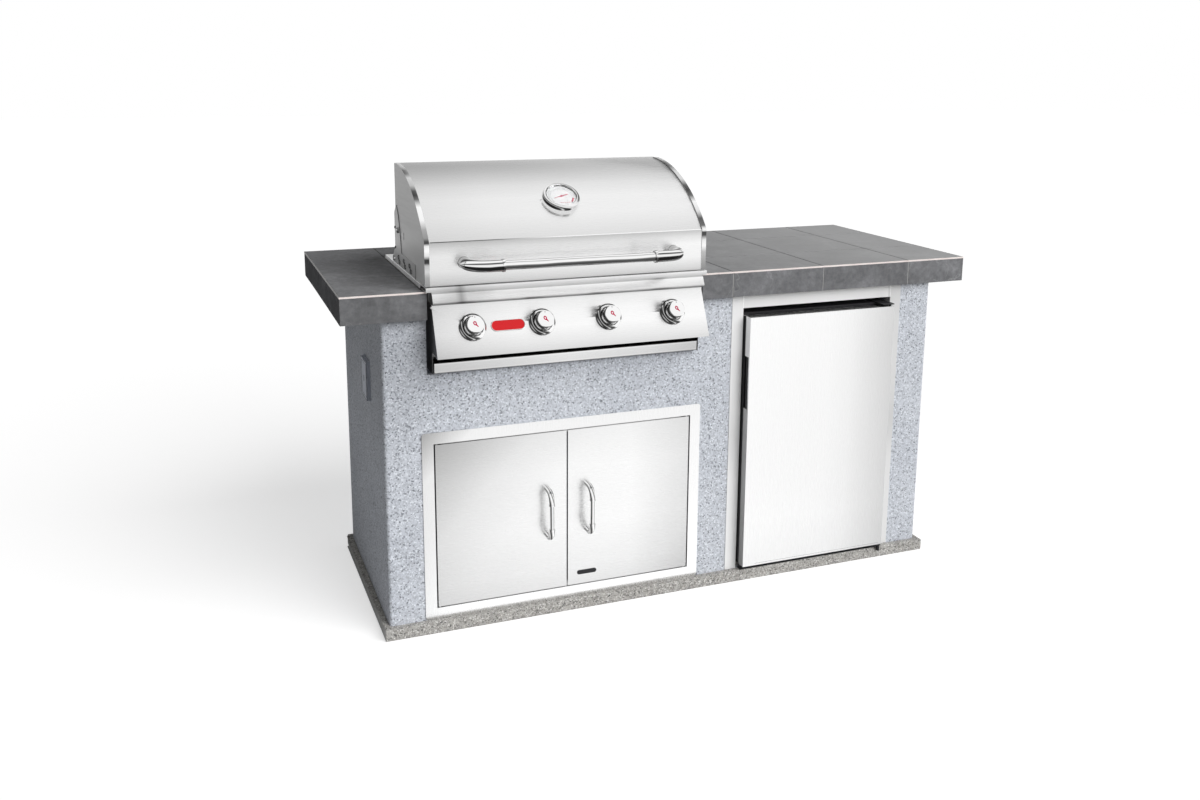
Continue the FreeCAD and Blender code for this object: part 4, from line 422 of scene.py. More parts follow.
# Painted reflections and shade: the tone stops of each steel below make it lighter or darker by height and
# place across, for the light each surface catches
STEEL = steel("brushed_steel", "x", 0.28, (UP, (0, 215), (1290, 228)))
STEEL_DARK = steel("inner_steel", "y", 0.42, (UP, (0, 150), (750, 158), (1290, 178)))
ARCH = steel(
    "arch_steel",
    "x",
    0.26,
    (UP, (1100, 221), (1130, 230), (1165, 240), (1205, 240), (1235, 226), (1258, 200), (1272, 178))
    + ((1286, 152),),
    (ACROSS, (-748, 240), (-560, 250), (-300, 254), (60, 255)),
)
APRON = steel(
    "apron_steel",
    "x",
    0.26,
    (UP, (991, 202), (1002, 217), (1030, 242), (1070, 246), (1090, 228), (1103, 205), (1109, 190)),
    (ACROSS, (-748, 238), (-450, 250), (60, 255)),
)
PANEL = steel(
    "panel_steel",
    "x",
    0.26,
    (UP, (809, 222), (830, 236), (868, 253), (905, 250), (932, 240), (944, 230)),
    (ACROSS, (-738, 224), (-650, 240), (-500, 252), (-200, 255), (49, 255)),
)
# Painted shade low on the ledge's nose, and a painted reflection as a darker streak at about X -660
LEDGE = steel(
    "ledge_steel",
    "x",
    0.32,
    (UP, (944, 110), (948, 120), (953, 215), (963, 232), (971, 246), (973.5, 255), (975, 190))
    + ((985, 222), (990, 250)),
    (ACROSS, (-753, 228), (-735, 234), (-676, 216), (-660, 176), (-644, 228), (-560, 250))
    + ((-100, 255), (64, 250)),
    metallic=0.75,
)
RAIL = steel("rail_steel", "y", 0.4, (UP, (978, 60), (986, 120), (989, 215), (990, 235)), metallic=0.4)
TRAY = steel(
    "tray_steel",
    "x",
    0.26,
    (UP, (754, 150), (757, 236), (760, 224), (776, 228), (779, 248), (781, 236)),
    (ACROSS, (-732, 222), (-350, 254), (-100, 244), (43, 222)),
)
DOORS = steel(
    "door_steel",
    "x",
    0.26,
    (UP, (70, 224), (130, 234), (260, 245), (430, 247), (546, 240)),
    (ACROSS, (-731, 238), (-600, 246), (-440, 252), (-150, 255), (33, 234)),
    # Painted reflection and shade: darker towards the top left and towards the lower right
    (LEFTWARD_UP, (560, 255), (700, 246), (905, 200)),
    (RIGHTWARD_DOWN, (-300, 255), (-120, 248), (-30, 238)),
)
FRAME = steel(
    "frame_steel",
    "z",
    0.26,
    (UP, (35, 255), (300, 248), (500, 246), (582, 242)),
    (ACROSS, (-768, 238), (-690, 250), (-560, 254), (70, 255)),
    # Painted shade towards the frame's top left
    (LEFTWARD_UP, (850, 255), (945, 196)),
)
STRIPS = steel(
    "strip_steel",
    "z",
    0.5,
    (UP, (35, 255), (330, 253), (405, 240), (470, 234), (560, 244), (650, 248), (800, 246), (902, 236)),
    (ACROSS, (204, 243), (206, 240), (711, 240), (714, 220)),
    metallic=0.1,
)
FRIDGE_DOOR = steel(
    "fridge_door_steel",
    "z",
    0.26,
    (UP, (53, 236), (200, 247), (840, 254)),
    (ACROSS, (209, 252), (480, 249), (560, 243), (610, 234), (712, 216)),
)
# Painted shade: a darker copy of the steel for the refrigerator door's left edge, lighter towards the top;
# the hem line takes it too
EDGE_STEEL = steel("edge_steel", "z", 0.6, (UP, (53, 150), (550, 186), (640, 232), (840, 240)))
# Painted shade on the hood's sides and ears, darker towards the top, and a darker copy still for the ears'
# edge faces
SIDE = steel("side_steel", "y", 0.4, (UP, (985, 213), (1030, 190), (1075, 150), (1130, 124), (1290, 130)))
EAR = steel("ear_steel", "y", 0.4, (UP, (985, 196), (1030, 178), (1075, 148), (1164, 124)))
SIDE_RIM = steel("side_rim_steel", "y", 0.4, (UP, (985, 120), (1290, 128)))
# Painted shade: the panel's cheeks are a dark copy of the steel
CHEEK = steel("cheek_steel", "z", 0.34, (UP, (751, 72), (942, 100)))
# Painted reflections: light and dark stripes by height along the bands over the hood's sides, one set for
# each side
LEFT_BAND = steel(
    "left_band_steel",
    "x",
    0.2,
    (UP, (991, 150), (1016, 168), (1032, 210), (1048, 190), (1055, 66), (1064, 60), (1074, 225))
    + ((1088, 252), (1100, 235), (1107, 70), (1112, 80), (1120, 150), (1140, 170), (1162, 245))
    + ((1192, 250), (1210, 110), (1219, 66), (1229, 84), (1242, 190), (1258, 205), (1267, 100))
    + ((1274, 80), (1281, 168), (1286, 160)),
)
RIGHT_BAND = steel(
    "right_band_steel",
    "x",
    0.2,
    (UP, (991, 140), (1016, 165), (1044, 190), (1062, 250), (1078, 232), (1092, 84), (1101, 76))
    + ((1106, 250), (1112, 235), (1119, 112), (1138, 96), (1156, 225), (1180, 246), (1196, 110))
    + ((1210, 70), (1222, 96), (1238, 215), (1256, 212), (1268, 96), (1277, 82), (1283, 168))
    + ((1286, 160),),
)
# Painted reflections on the handle's bar, the cheek bolt and the pivot caps, and darker ones on the
# handle's elbows and collars
BAR = polished_bar(
    "polished_bar",
    0.09,
    (-180, 250),
    (-20, 246),
    (-6, 200),
    (2, 90),
    (10, 84),
    (16, 244),
    (36, 250),
    (43, 150),
    (52, 235),
    (72, 250),
    (82, 235),
    (88, 126),
    (100, 84),
    (116, 60),
    (130, 104),
    (140, 176),
    (156, 120),
    (172, 96),
    (180, 70),
)
BAR_END = polished_bar(
    "polished_bar_end",
    0.09,
    (-180, 246),
    (-34, 240),
    (-8, 210),
    (0, 176),
    (5, 36),
    (14, 28),
    (22, 240),
    (44, 250),
    (51, 70),
    (60, 84),
    (68, 238),
    (84, 244),
    (92, 36),
    (126, 24),
    (140, 150),
    (152, 60),
    (180, 50),
)
# Painted reflections on the door pulls, the knobs, their bezels and the thermometer's case
PULL = polished(
    "polished_pull",
    (0.78, 0.0, 0.62),
    0.09,
    (-1.0, 45),
    (-0.8, 225),
    (-0.66, 52),
    (-0.46, 84),
    (-0.34, 170),
    (-0.16, 246),
    (0.16, 250),
    (0.34, 176),
    (0.5, 90),
    (0.6, 235),
    (0.82, 250),
    (0.9, 60),
    (1.0, 90),
)
CHROME = polished(
    "polished_knob",
    (0.84, 0.0, 0.54),
    0.09,
    (-1.0, 60),
    (-0.86, 24),
    (-0.62, 36),
    (-0.54, 170),
    (-0.46, 48),
    (-0.26, 60),
    (-0.18, 215),
    (-0.1, 90),
    (0.02, 56),
    (0.1, 120),
    (0.16, 244),
    (0.42, 252),
    (0.62, 240),
    (0.72, 110),
    (0.82, 235),
    (1.0, 130),
)
CASE = polished(
    "polished_case",
    (0.76, 0.0, 0.65),
    0.09,
    (-1.0, 60),
    (-0.8, 28),
    (-0.6, 70),
    (-0.5, 225),
    (-0.42, 70),
    (-0.2, 44),
    (-0.1, 235),
    (0.1, 215),
    (0.4, 248),
    (0.56, 228),
    (0.66, 110),
    (0.78, 38),
    (0.9, 90),
    (1.0, 200),
)
JOINT = plain("edge_grout", tone(150, 0.01), 0.9, grain=700.0, depth=0.3)
# Painted highlight: bright steel for the lips along the rails, lighter towards the rear
LIP = steel(
    "lip_steel",
    "y",
    0.3,
    (UP, (978, 205), (984, 240), (990, 230)),
    (DEEP, (-302, 215), (-150, 240), (206, 255)),
)
# Painted shade and highlight along the hood's seam, dark at the left and bright to the right; the joints in
# the refrigerator's surround take its bright end
SEAM = steel("seam_steel", "x", 0.2, (ACROSS, (-740, 70), (-560, 110), (-470, 200), (-380, 250), (48, 255)))
IRON = plain("cast_iron", (0.03, 0.029, 0.028), 0.62, grain=320.0, depth=0.5, swing=0.3)
BLACK_METAL = plain("black_enamel", (0.016, 0.016, 0.018), 0.45, grain=300.0, Specular_IOR_Level=0.25)
BLACK = plain("black_plastic", (0.018, 0.018, 0.02), 0.5, grain=500.0, Specular_IOR_Level=0.3)
WHITE = plain("white_liner", (0.76, 0.77, 0.77), 0.35, grain=260.0, depth=0.06, swing=0.03)
RUBBER = plain("gasket_rubber", (0.03, 0.03, 0.032), 0.7, grain=600.0)
BRASS = plain("brass", (0.7, 0.5, 0.22), 0.3, 1.0, grain=200.0)
GLASS = clear_glass("gauge_glass")
RED_COAT = {"grain": 300.0, "depth": 0.05, "swing": 0.05, "Specular_IOR_Level": 0.15}
RED = plain("red_enamel", (0.56, 0.016, 0.02), 0.4, **RED_COAT)
MARK = plain("red_mark", (0.45, 0.02, 0.07), 0.5, **RED_COAT)
DIAL = plain("gauge_dial", (0.74, 0.74, 0.745), 0.5, grain=200.0, depth=0.03, swing=0.04)
TICKS = plain("dial_print", (0.3, 0.3, 0.31), 0.6, grain=200.0, depth=0.03)
LID = plain("lid_plastic", (0.36, 0.385, 0.44), 0.6, grain=400.0, Specular_IOR_Level=0.3)
# Painted shade in the gaps round the outlet's plate and lid, and in the latch slot
LID_SHADE_LINE = plain("lid_recess_shade", (0.012, 0.014, 0.02), 0.6, grain=400.0, Specular_IOR_Level=0.2)

SLOTS = {
    "stucco": STUCCO,
    "plinth": PLINTH,
    "board": BOARD,
    "steel_tube": TUBE,
    "tile": TILE,
    "tile_trim": TRIM,
    "grout": GROUT,
    "stainless": STEEL,
    "stainless_dark": STEEL_DARK,
    "chrome": CHROME,
    "cast_iron": IRON,
    "black_metal": BLACK_METAL,
    "black_plastic": BLACK,
    "white_plastic": WHITE,
    "gasket": RUBBER,
    "brass": BRASS,
    "glass": GLASS,
    "red_paint": RED,
    "lid_plastic": LID,
}

SLOT_OF = {part["node"]: part["material_slot"] for part in frame["record"]["subparts"]}
BODY_OF = {name: thing["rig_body"] for name, thing in frame["nodes"].items()}

for node_name, thing in frame["nodes"].items():
    thing.data.materials.clear()
    thing.data.materials.append(SLOTS[SLOT_OF[node_name]])


# Mesh helpers


def piece(name, bm, material, body, bevel=0.0, segments=2, sharp=32.0):
    """A new object from bmesh, shaded by angle, with rounded edges where bevel is above 0 mm."""
    mesh = bpy.data.meshes.new(name)
    bm.normal_update()
    for face in bm.faces:
        bends = [edge.calc_face_angle(0.0) for edge in face.edges]
        face.smooth = any(math.radians(0.5) < bend < math.radians(sharp) for bend in bends)
    bm.to_mesh(mesh)
    bm.free()
    mesh.materials.append(material)
    thing = bpy.data.objects.new(name, mesh)
    bpy.context.scene.collection.objects.link(thing)
    if bevel > 0:
        rounding = thing.modifiers.new("rounding", "BEVEL")
        rounding.width = bevel * MM
        rounding.segments = segments
        rounding.limit_method = "ANGLE"
        rounding.angle_limit = math.radians(sharp)
        rounding.harden_normals = True
    else:
        mesh.set_sharp_from_angle(angle=math.radians(sharp))
    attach(thing, body)
    return thing


def refined(node_name, bevel, material=None, segments=2, shape=None):
    """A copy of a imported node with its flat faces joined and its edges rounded, shown in its place."""
    bm = bmesh.new()
    bm.from_mesh(frame["nodes"][node_name].data)
    bmesh.ops.remove_doubles(bm, verts=bm.verts, dist=0.02 * MM)
    bmesh.ops.dissolve_limit(bm, angle_limit=math.radians(0.4), verts=bm.verts, edges=bm.edges)
    if shape:
        shape(bm)
    material = material or SLOTS[SLOT_OF[node_name]]
    body, slot = BODY_OF[node_name], SLOT_OF[node_name]
    thing = piece(node_name + "_dressed", bm, material, body, bevel, segments)
    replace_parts(thing, node_name)
    return thing


def remade(thing, pick, *materials):
    """Further materials on a piece, by a rule that gives each face its number in the row."""
    for material in materials:
        thing.data.materials.append(material)
    for face in thing.data.polygons:
        face.material_index = pick(face)


def moved(bm, axis, old, new, also=None):
    """Corners at one level, in mm, brought to another."""
    for vert in bm.verts:
        if abs(vert.co[axis] - old * MM) < 0.3 * MM and (also is None or also(vert.co)):
            vert.co[axis] = new * MM


def lathe(bm, profile, origin, axis, around=48):
    """A turned skin from (radius, height) pairs in mm along an axis from an origin."""
    axis = Vector(axis).normalized()
    side = axis.orthogonal().normalized()
    other = axis.cross(side)
    origin = Vector(origin)
    rings = []
    for radius, height in profile:
        centre = (origin + axis * height) * MM
        if radius <= 0:
            rings.append([bm.verts.new(centre)])
            continue
        ring = []
        for k in range(around):
            turn = 2 * PI * k / around
            spoke = side * math.cos(turn) + other * math.sin(turn)
            ring.append(bm.verts.new(centre + spoke * radius * MM))
        rings.append(ring)
    for first, second in zip(rings, rings[1:]):
        for k in range(around):
            n = (k + 1) % around
            before = [first[k % len(first)], first[n % len(first)]]
            after = [second[n % len(second)], second[k % len(second)]]
            loop = list(dict.fromkeys(before + after))
            if len(loop) > 2:
                bm.faces.new(loop)
    bmesh.ops.recalc_face_normals(bm, faces=bm.faces)


def turned(name, profile, origin, axis, material, body, around=48, sharp=32.0):
    """A turned skin as a piece of its own."""
    bm = bmesh.new()
    lathe(bm, profile, origin, axis, around)
    return piece(name, bm, material, body, sharp=sharp)


def block(bm, low, high):
    """A box between two corners in mm."""
    corners = [
        bm.verts.new(Vector((x, y, z)) * MM)
        for x in (low[0], high[0])
        for y in (low[1], high[1])
        for z in (low[2], high[2])
    ]
    for loop in ((0, 1, 3, 2), (4, 6, 7, 5), (0, 4, 5, 1), (2, 3, 7, 6), (0, 2, 6, 4), (1, 5, 7, 3)):
        bm.faces.new([corners[i] for i in loop])


def plate(bm, outline, place, low, high):
    """A thin sheet with an outline of (across, up) pairs on a face, from one height over it to another."""
    under = [bm.verts.new(place(u, v, low) * MM) for u, v in outline]
    over = [bm.verts.new(place(u, v, high) * MM) for u, v in outline]
    bm.faces.new(list(reversed(under)))
    bm.faces.new(over)
    for k in range(len(outline)):
        n = (k + 1) % len(outline)
        bm.faces.new((under[k], under[n], over[n], over[k]))
    bmesh.ops.recalc_face_normals(bm, faces=bm.faces)


def pill(u, v, half_long, half_high, steps=12):
    """A bar outline with round ends."""
    outline = []
    for side, start in ((1, -90), (-1, 90)):
        middle = u + side * (half_long - half_high)
        for k in range(steps + 1):
            turn = math.radians(start + 180 * k / steps)
            outline.append((middle + half_high * math.cos(turn), v + half_high * math.sin(turn)))
    return outline


def leaned(points, lean):
    """Points turned about the origin by a lean in degrees."""
    c, s = math.cos(math.radians(lean)), math.sin(math.radians(lean))
    return [(x * c - y * s, x * s + y * c) for x, y in points]


def oval(u, v, half_wide, half_high, lean=0.0, steps=28):
    """An oval outline about a middle, leaned by degrees."""
    turns = [2 * PI * k / steps for k in range(steps)]
    points = leaned([(half_wide * math.cos(t), half_high * math.sin(t)) for t in turns], lean)
    return [(u + x, v + y) for x, y in points]


def rectangle(left, low, right, high):
    """An outline with four square corners."""
    return [(left, low), (right, low), (right, high), (left, high)]


def sector(u, v, near, far, start, end, steps=12):
    """Part of a ring between two radii and two turns in degrees."""
    turns = [math.radians(start + (end - start) * k / steps) for k in range(steps + 1)]
    outer = [(u + far * math.cos(t), v + far * math.sin(t)) for t in turns]
    inner = [(u + near * math.cos(t), v + near * math.sin(t)) for t in reversed(turns)]
    return outer + inner


def frame_plate(bm, outer, inner, place, low, high):
    """A thin sheet between two outlines with the same number of corners."""
    loops = []
    for outline, height in ((outer, low), (outer, high), (inner, high), (inner, low)):
        loops.append([bm.verts.new(place(u, v, height) * MM) for u, v in outline])
    loops.append(loops[0])
    for first, second in zip(loops, loops[1:]):
        for k in range(len(first)):
            n = (k + 1) % len(first)
            bm.faces.new((first[k], first[n], second[n], second[k]))
    bmesh.ops.recalc_face_normals(bm, faces=bm.faces)


def printed(name, outlines, place, low, high, material, body, slot, bevel=0.0):
    """Thin raised shapes on a face, as one piece."""
    bm = bmesh.new()
    for outline in outlines:
        plate(bm, outline, place, low, high)
    return piece(name, bm, material, body, bevel)


# Rules that give a point by mm across, up and out of a face


def leaning_face(joint_name):
    """Points of a face that leans back, from the middle of the joint that stands square to it."""
    row, middle = joint(joint_name)
    out_way = Vector(row["axis"])
    if out_way.y > 0:
        out_way = -out_way
    up_way = out_way.cross(Vector(ACROSS))
    return lambda across, up, out: Vector(middle) + Vector(ACROSS) * across + up_way * up + out_way * out


on_gauge = leaning_face("gauge_needle_turn")


def on_front(across, up, out):
    """A point on the plane of the storage doors."""
    return Vector((across, STORAGE_DOOR.front - out, up))


def on_fridge_door(across, up, out):
    """A point on the refrigerator door's face."""
    return Vector((across, FRIDGE.front - out, up))


def on_fridge_edge(deep, up, out):
    """A point on the refrigerator door's left edge, by Y and Z."""
    return Vector((FRIDGE.left - out, deep, up))


def on_cover(across, up, out):
    """A point on the outlet cover's face, by distance from its middle."""
    middle_y, middle_z = (COVER.front + COVER.back) / 2, (COVER.low + COVER.high) / 2
    return Vector((COVER.left - out, middle_y - across, middle_z + up))


def on_apron(across, up, out):
    """A point on the hood's front plate."""
    return Vector((across, APRON_SPAN.front - out, up))


def ear_place(side):
    """Points on the outer face of an ear, by Y and Z."""
    return lambda y, z, out: Vector((GRILL_X + side * (EAR_OUT + out), y, z))


def hood_place(side):
    """Points on an outer side of the hood, by Y and Z."""
    return lambda y, z, out: Vector((GRILL_X + side * (HOOD_OUT + out), y, z))


def across_section(x, z, y):
    """A point of a rail's section, by X and Z, at a depth Y."""
    return Vector((x, y, z))


# Base, counter and outlet


def out_to_strip(bm, also=None):
    """The line inside the counter's edge strip, brought out to a strip of a few millimetres."""
    wide, thin = 9, 2.5
    moved(bm, 1, COUNTER.front + wide, COUNTER.front + thin, also)
    moved(bm, 1, COUNTER.back - wide, COUNTER.back - thin, also)
    for name, side in SIDES:
        moved(bm, 0, side * (COUNTER.right - wide), side * (COUNTER.right - thin), also)


def thin_edge(bm):
    """The edge strip, no more than a thin line at the counter's upper edge."""
    moved(bm, 2, COUNTER.low, TILE_EDGE)
    out_to_strip(bm)


def wide_top(bm):
    """The top tiles, out to the edge strip."""
    out_to_strip(bm, lambda place: place.z > (COUNTER.high - 3) * MM)


def raised_edge(bm):
    """The edge tiles, up to the thin strip, with room at both ends for their rounding."""
    moved(bm, 2, COUNTER.low, TILE_EDGE)
    for name, side in SIDES:
        moved(bm, 0, side * COUNTER.right, side * (COUNTER.right - 0.6))


def dress_counter():
    """Base strips, tiles, the thin edge strip and the pale joints between the edge tiles."""
    refined("plinth_strips", 4.0, segments=3)
    refined("top_tiles", 0.6, shape=wide_top)
    refined("edge_tiles", 0.6, shape=raised_edge)
    refined("edge_trim", 0.0, shape=thin_edge)
    joints = bmesh.new()
    low, high = Extent("edge_tiles").low + 1, TILE_EDGE - 1.5
    inner, outer = COUNTER.right - 7, COUNTER.right - 1.4
    left_run = (COUNTER.left + 1, LEDGE_SPAN.left + 4.1)
    right_run = (LEDGE_SPAN.right - 4.1, COUNTER.right - 1)
    for near, far in (left_run, right_run):
        block(joints, (near, COUNTER.front + 0.8, low), (far, COUNTER.front + 7, high))
    for name, side in SIDES:
        block(joints, (side * inner, COUNTER.front + 9, low), (side * outer, COUNTER.back - 9, high))
    block(joints, (-inner, COUNTER.back - 7, low), (inner, COUNTER.back - 0.8, high))
    piece("edge_joints", joints, JOINT, "root", 0.3)


def dress_outlet():
    """The outlet's plate and lid, with painted shade: dark lines round both and over the latch slot."""
    refined("outlet_plate", 1.2)
    refined("outlet_lid", 1.6)
    # Painted shade: thin black frames round the plate and lid, and a black bar for the latch slot
    lines = bmesh.new()
    for half_wide, half_high, width, low, high in ((43.4, 56.0, 1.6, -0.5, 0.25), (36, 48, 1.1, -0.4, 0.2)):
        outer = rectangle(-half_wide, -half_high, half_wide, half_high)
        inner = rectangle(width - half_wide, width - half_high, half_wide - width, half_high - width)
        frame_plate(lines, outer, inner, on_cover, low, high)
    plate(lines, rectangle(-3, -9, 3, 9), on_cover, -0.4, 0.3)
    piece("lid_shade_lines", lines, LID_SHADE_LINE, BODY_OF["outlet_lid"])


# Storage doors and refrigerator


def dress_doors():
    """The storage doors in their frame, with the small bare plate on the right one."""
    refined("door_frame", 1.0, FRAME)
    for name, side in SIDES:
        refined("door_" + name, 1.6, DOORS)
        frame["nodes"]["door_handle_" + name].data.materials[0] = PULL
    outline = pill(STORAGE_DOOR.right + 62.4, STORAGE_DOOR.low + 35.5, 30, 6.5)
    printed("small_plate", [outline], on_front, 0, 1.4, BLACK, BODY_OF["door_right"], "black_plastic", 0.4)


def dress_fridge():
    """The refrigerator with its surround, a black strip of painted shadow and the hinge foot under its
    door, and black strips of gasket and painted shade on the door's left edge.
    """
    door = BODY_OF["fridge_door_skin"]
    refined("fridge_frame", 0.8, STRIPS)
    refined("fridge_cabinet", 2.0)
    skin = refined("fridge_door_skin", 1.2, FRIDGE_DOOR)
    # Painted shade: the door's faces that face left take the darker edge steel
    remade(skin, lambda face: 1 if face.normal.x < -0.7 else 0, EDGE_STEEL)
    refined("fridge_door_liner", 1.5)
    refined("fridge_door_grip", 1.2)
    refined("fridge_gasket", 1.5)
    refined("fridge_hinges", 0.8)
    hem = rectangle(FRIDGE.left + 40.5, FRIDGE.low + 6, FRIDGE.right - 12, FRIDGE.low + 6.7)
    printed("hem_line", [hem], on_fridge_door, -0.3, 0.12, EDGE_STEEL, door, "stainless")
    # Black strips on the door's left edge, partly the black gasket and partly painted shade at the rear of
    # the edge and beside the grip
    gasket_side = rectangle(FRIDGE.back - 14, FRIDGE.low + 1, FRIDGE.back - 0.6, FRIDGE.high - 1)
    grip_side = rectangle(GRIP.front - 12, GRIP.low, GRIP.front - 0.2, GRIP.high)
    trim = [gasket_side, grip_side]
    printed("fridge_edge_shade_trim", trim, on_fridge_edge, -0.2, 0.25, BLACK, door, "black_plastic")
    # Painted shadow: a black mat on the plinth's top under the door and a black plate behind it
    shadow_strip = bmesh.new()
    left, right, low = FRIDGE.left + 1.5, FRIDGE.right - 1, SURROUND.low + 1.4
    block(shadow_strip, (left, SURROUND.front - 17, low - 1.2), (right, SURROUND.front, low))
    block(shadow_strip, (left, SURROUND.front - 3, low), (right, SURROUND.front, low + 13.6))
    piece("door_shadow_strip", shadow_strip, BLACK, "root", 0.3)
    low, high = SURROUND.high - 40, SURROUND.high - 1
    for name, across in (("left", FRIDGE.left - 4.9), ("right", FRIDGE.right + 9)):
        line = bmesh.new()
        block(line, (across - 0.4, SURROUND.front - 0.15, low), (across + 0.4, SURROUND.front + 0.5, high))
        piece("strip_joint_" + name, line, SEAM, "root")
    foot = bmesh.new()
    block(foot, (FRIDGE.right - 8, FRIDGE.front + 5, 27), (FRIDGE.right - 1, FRIDGE.front + 16, 46))
    piece("hinge_foot", foot, BLACK_METAL, "root", 1.0)


# Grill body. Outlines of turned pieces are (radius, height) pairs in mm.

SCREW = [(0, 2.6), (2.4, 2.4), (4.0, 1.2), (4.2, 0), (0, 0)]
CHEEK_BOLT = [(0, 4.2), (2.6, 4.0), (4.6, 2.6), (5.0, 0), (0, 0)]
PIVOT_CAP = [(0, 1.6), (2.2, 1.4), (3.2, 0.6), (3.4, 0), (0, 0)]
COLLAR_SCREW = [(0, 1.2), (1.6, 0.8), (2.3, 0), (0, 0)]


def dress_body():
    """Rails, ledge, ears, control panel and tray, with the bare red plate on the panel."""
    refined("trim_rails", 0.8, RAIL)
    refined("front_ledge", 0.6, LEDGE)
    ears = refined("side_ears", 0.6, EAR)
    # Painted shade: the ears' edge faces take the darker copy of the steel
    remade(ears, lambda face: 0 if abs(face.normal.x) > 0.6 else 1, SIDE_RIM)
    refined("control_panel", 1.2, PANEL)
    refined("panel_cheeks", 0.6, CHEEK)
    refined("drip_tray", 0.6, TRAY)
    cheeks = Extent("panel_cheeks")
    bolt = (cheeks.left, -352, cheeks.high - 8)
    turned("cheek_bolt", CHEEK_BOLT, bolt, (-1, 0, 0), BAR, "root", 24)
    on_panel = leaning_face("knob_turn_1")
    middle = (97.75, -1)
    rim = bmesh.new()
    frame_plate(rim, pill(*middle, 47.5, 15), pill(*middle, 46, 13.5), on_panel, 0, 2.6)
    piece("name_plate_rim", rim, CHROME, "root", 0.4)
    printed("name_plate", [pill(*middle, 46.2, 13.7)], on_panel, 0, 2.0, RED, "root", "red_paint", 0.3)


def dress_rail(name, side):
    """The raised lip along a trim rail, beside the ear."""
    edge = GRILL_X + side * EAR_OUT
    low, high = RAILS.low, RAILS.high
    section = [(edge, low + 0.4), (edge + side * 3.6, low + 1.4), (edge + side * 1.4, high), (edge, high)]
    ends = (RAILS.front, RAILS.back)
    printed("rail_lip_" + name, [section], across_section, *ends, LIP, "root", "stainless", 0.3)


def dress_ear(name, side):
    """Painted shade in black round the vent holes, the pivot's cap and rim, and two screws on an ear."""
    place = ear_place(side)
    # Painted shade: black rings just inside the edges of the vent holes
    shade_rims = bmesh.new()
    for row, (count, pitch) in enumerate(((4, 81), (3, 78))):
        for k in range(count):
            y, z = -173 + 17 * row + pitch * k, RAILS.high + 11.5 + 13 * row
            frame_plate(shade_rims, pill(y, z, 13.2, 6.6), pill(y, z, 10, 3.4), place, 0, 0.4)
    piece("vent_shade_rims_" + name, shade_rims, BLACK_METAL, "root")
    cap = place(PIVOT_Y, PIVOT_Z, BOLT_HEAD)
    turned("pivot_cap_" + name, PIVOT_CAP, cap, (side, 0, 0), BAR, "root", 24)
    rim = bmesh.new()
    outer = oval(PIVOT_Y, PIVOT_Z, 7.0, 7.0)
    inner = oval(PIVOT_Y, PIVOT_Z, 4.0, 4.0)
    frame_plate(rim, outer, inner, place, 0, BOLT_HEAD + 0.4)
    piece("pivot_rim_" + name, rim, BLACK_METAL, "root", 0.5)
    for k, height in enumerate((PIVOT_Z - 56, PIVOT_Z + 3)):
        screw = "ear_screw_%s_%d" % (name, k)
        turned(screw, SCREW, place(43, height, 0), (side, 0, 0), BLACK_METAL, "root", 20)


# Knobs and their bezels

BEZEL = [(26.0, 0), (26.0, 10.4), (26.7, 11.6), (28.4, 12.0), (30.8, 11.4), (33.8, 9.2)]
BEZEL += [(36.4, 6.4), (37.4, 3.4), (37.5, 0), (26.0, 0)]
KNOB = [(0, 38.5), (21.8, 38.4), (23.3, 37.7), (23.9, 36.4), (23.9, 25.6), (22.4, 24.0), (21.4, 22.6)]
KNOB += [(21.4, 20.6), (22.8, 19.6), (23.6, 18.4), (23.0, 17.2), (21.4, 16.2), (21.4, 15.0)]
KNOB += [(24.4, 13.6), (24.4, 8.0), (23.7, 6.1), (0, 6.1)]


def dress_knob(number, bezels):
    """One knob with a red mark and a tick, and its bezel among the others."""
    name = "knob_%d" % number
    body = BODY_OF[name]
    place = leaning_face("knob_turn_%d" % number)
    middle = place(0, 0, 0)
    out = place(0, 0, 1) - middle
    lathe(bezels, BEZEL, middle, out, 56)
    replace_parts(turned(name + "_dressed", KNOB, middle, out, CHROME, body, 56, 24), name)
    mark = bmesh.new()
    outer = oval(-1.5, 2.5, 4.6, 6.0, lean=20)
    inner = oval(-1.5, 2.5, 1.8, 2.8, lean=20)
    frame_plate(mark, outer, inner, place, 38.3, 38.8)
    plate(mark, [(0.4, -3.4), (3.4, -0.8), (7.5, -7.4), (6.4, -8.4)], place, 38.3, 38.7)
    piece("knob_mark_%d" % number, mark, MARK, body)
    tick = rectangle(-0.8, 17.5, 0.8, 20.5)
    printed("knob_tick_%d" % number, [tick], place, 38.2, 38.8, BLACK, body, "black_plastic")


def dress_knobs():
    """The four knobs, and all their bezels as one piece."""
    bezels = bmesh.new()
    for number in range(1, 5):
        dress_knob(number, bezels)
    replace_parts(piece("knob_bezels_dressed", bezels, CHROME, "root", sharp=24), "knob_bezels")


# Hood


def band_face(face):
    """0 for the side sheets, 1 and 2 for the bands over the left and right one, which carry painted
    reflections.
    """
    if abs(face.normal.x) > 0.6:
        return 0
    return 1 if face.center.x < GRILL_X * MM else 2


def bar_end(face):
    """1 for the elbows and collars of the hood's handle."""
    return 1 if abs(face.center.x - GRILL_X * MM) > COLLAR_OUT * MM else 0


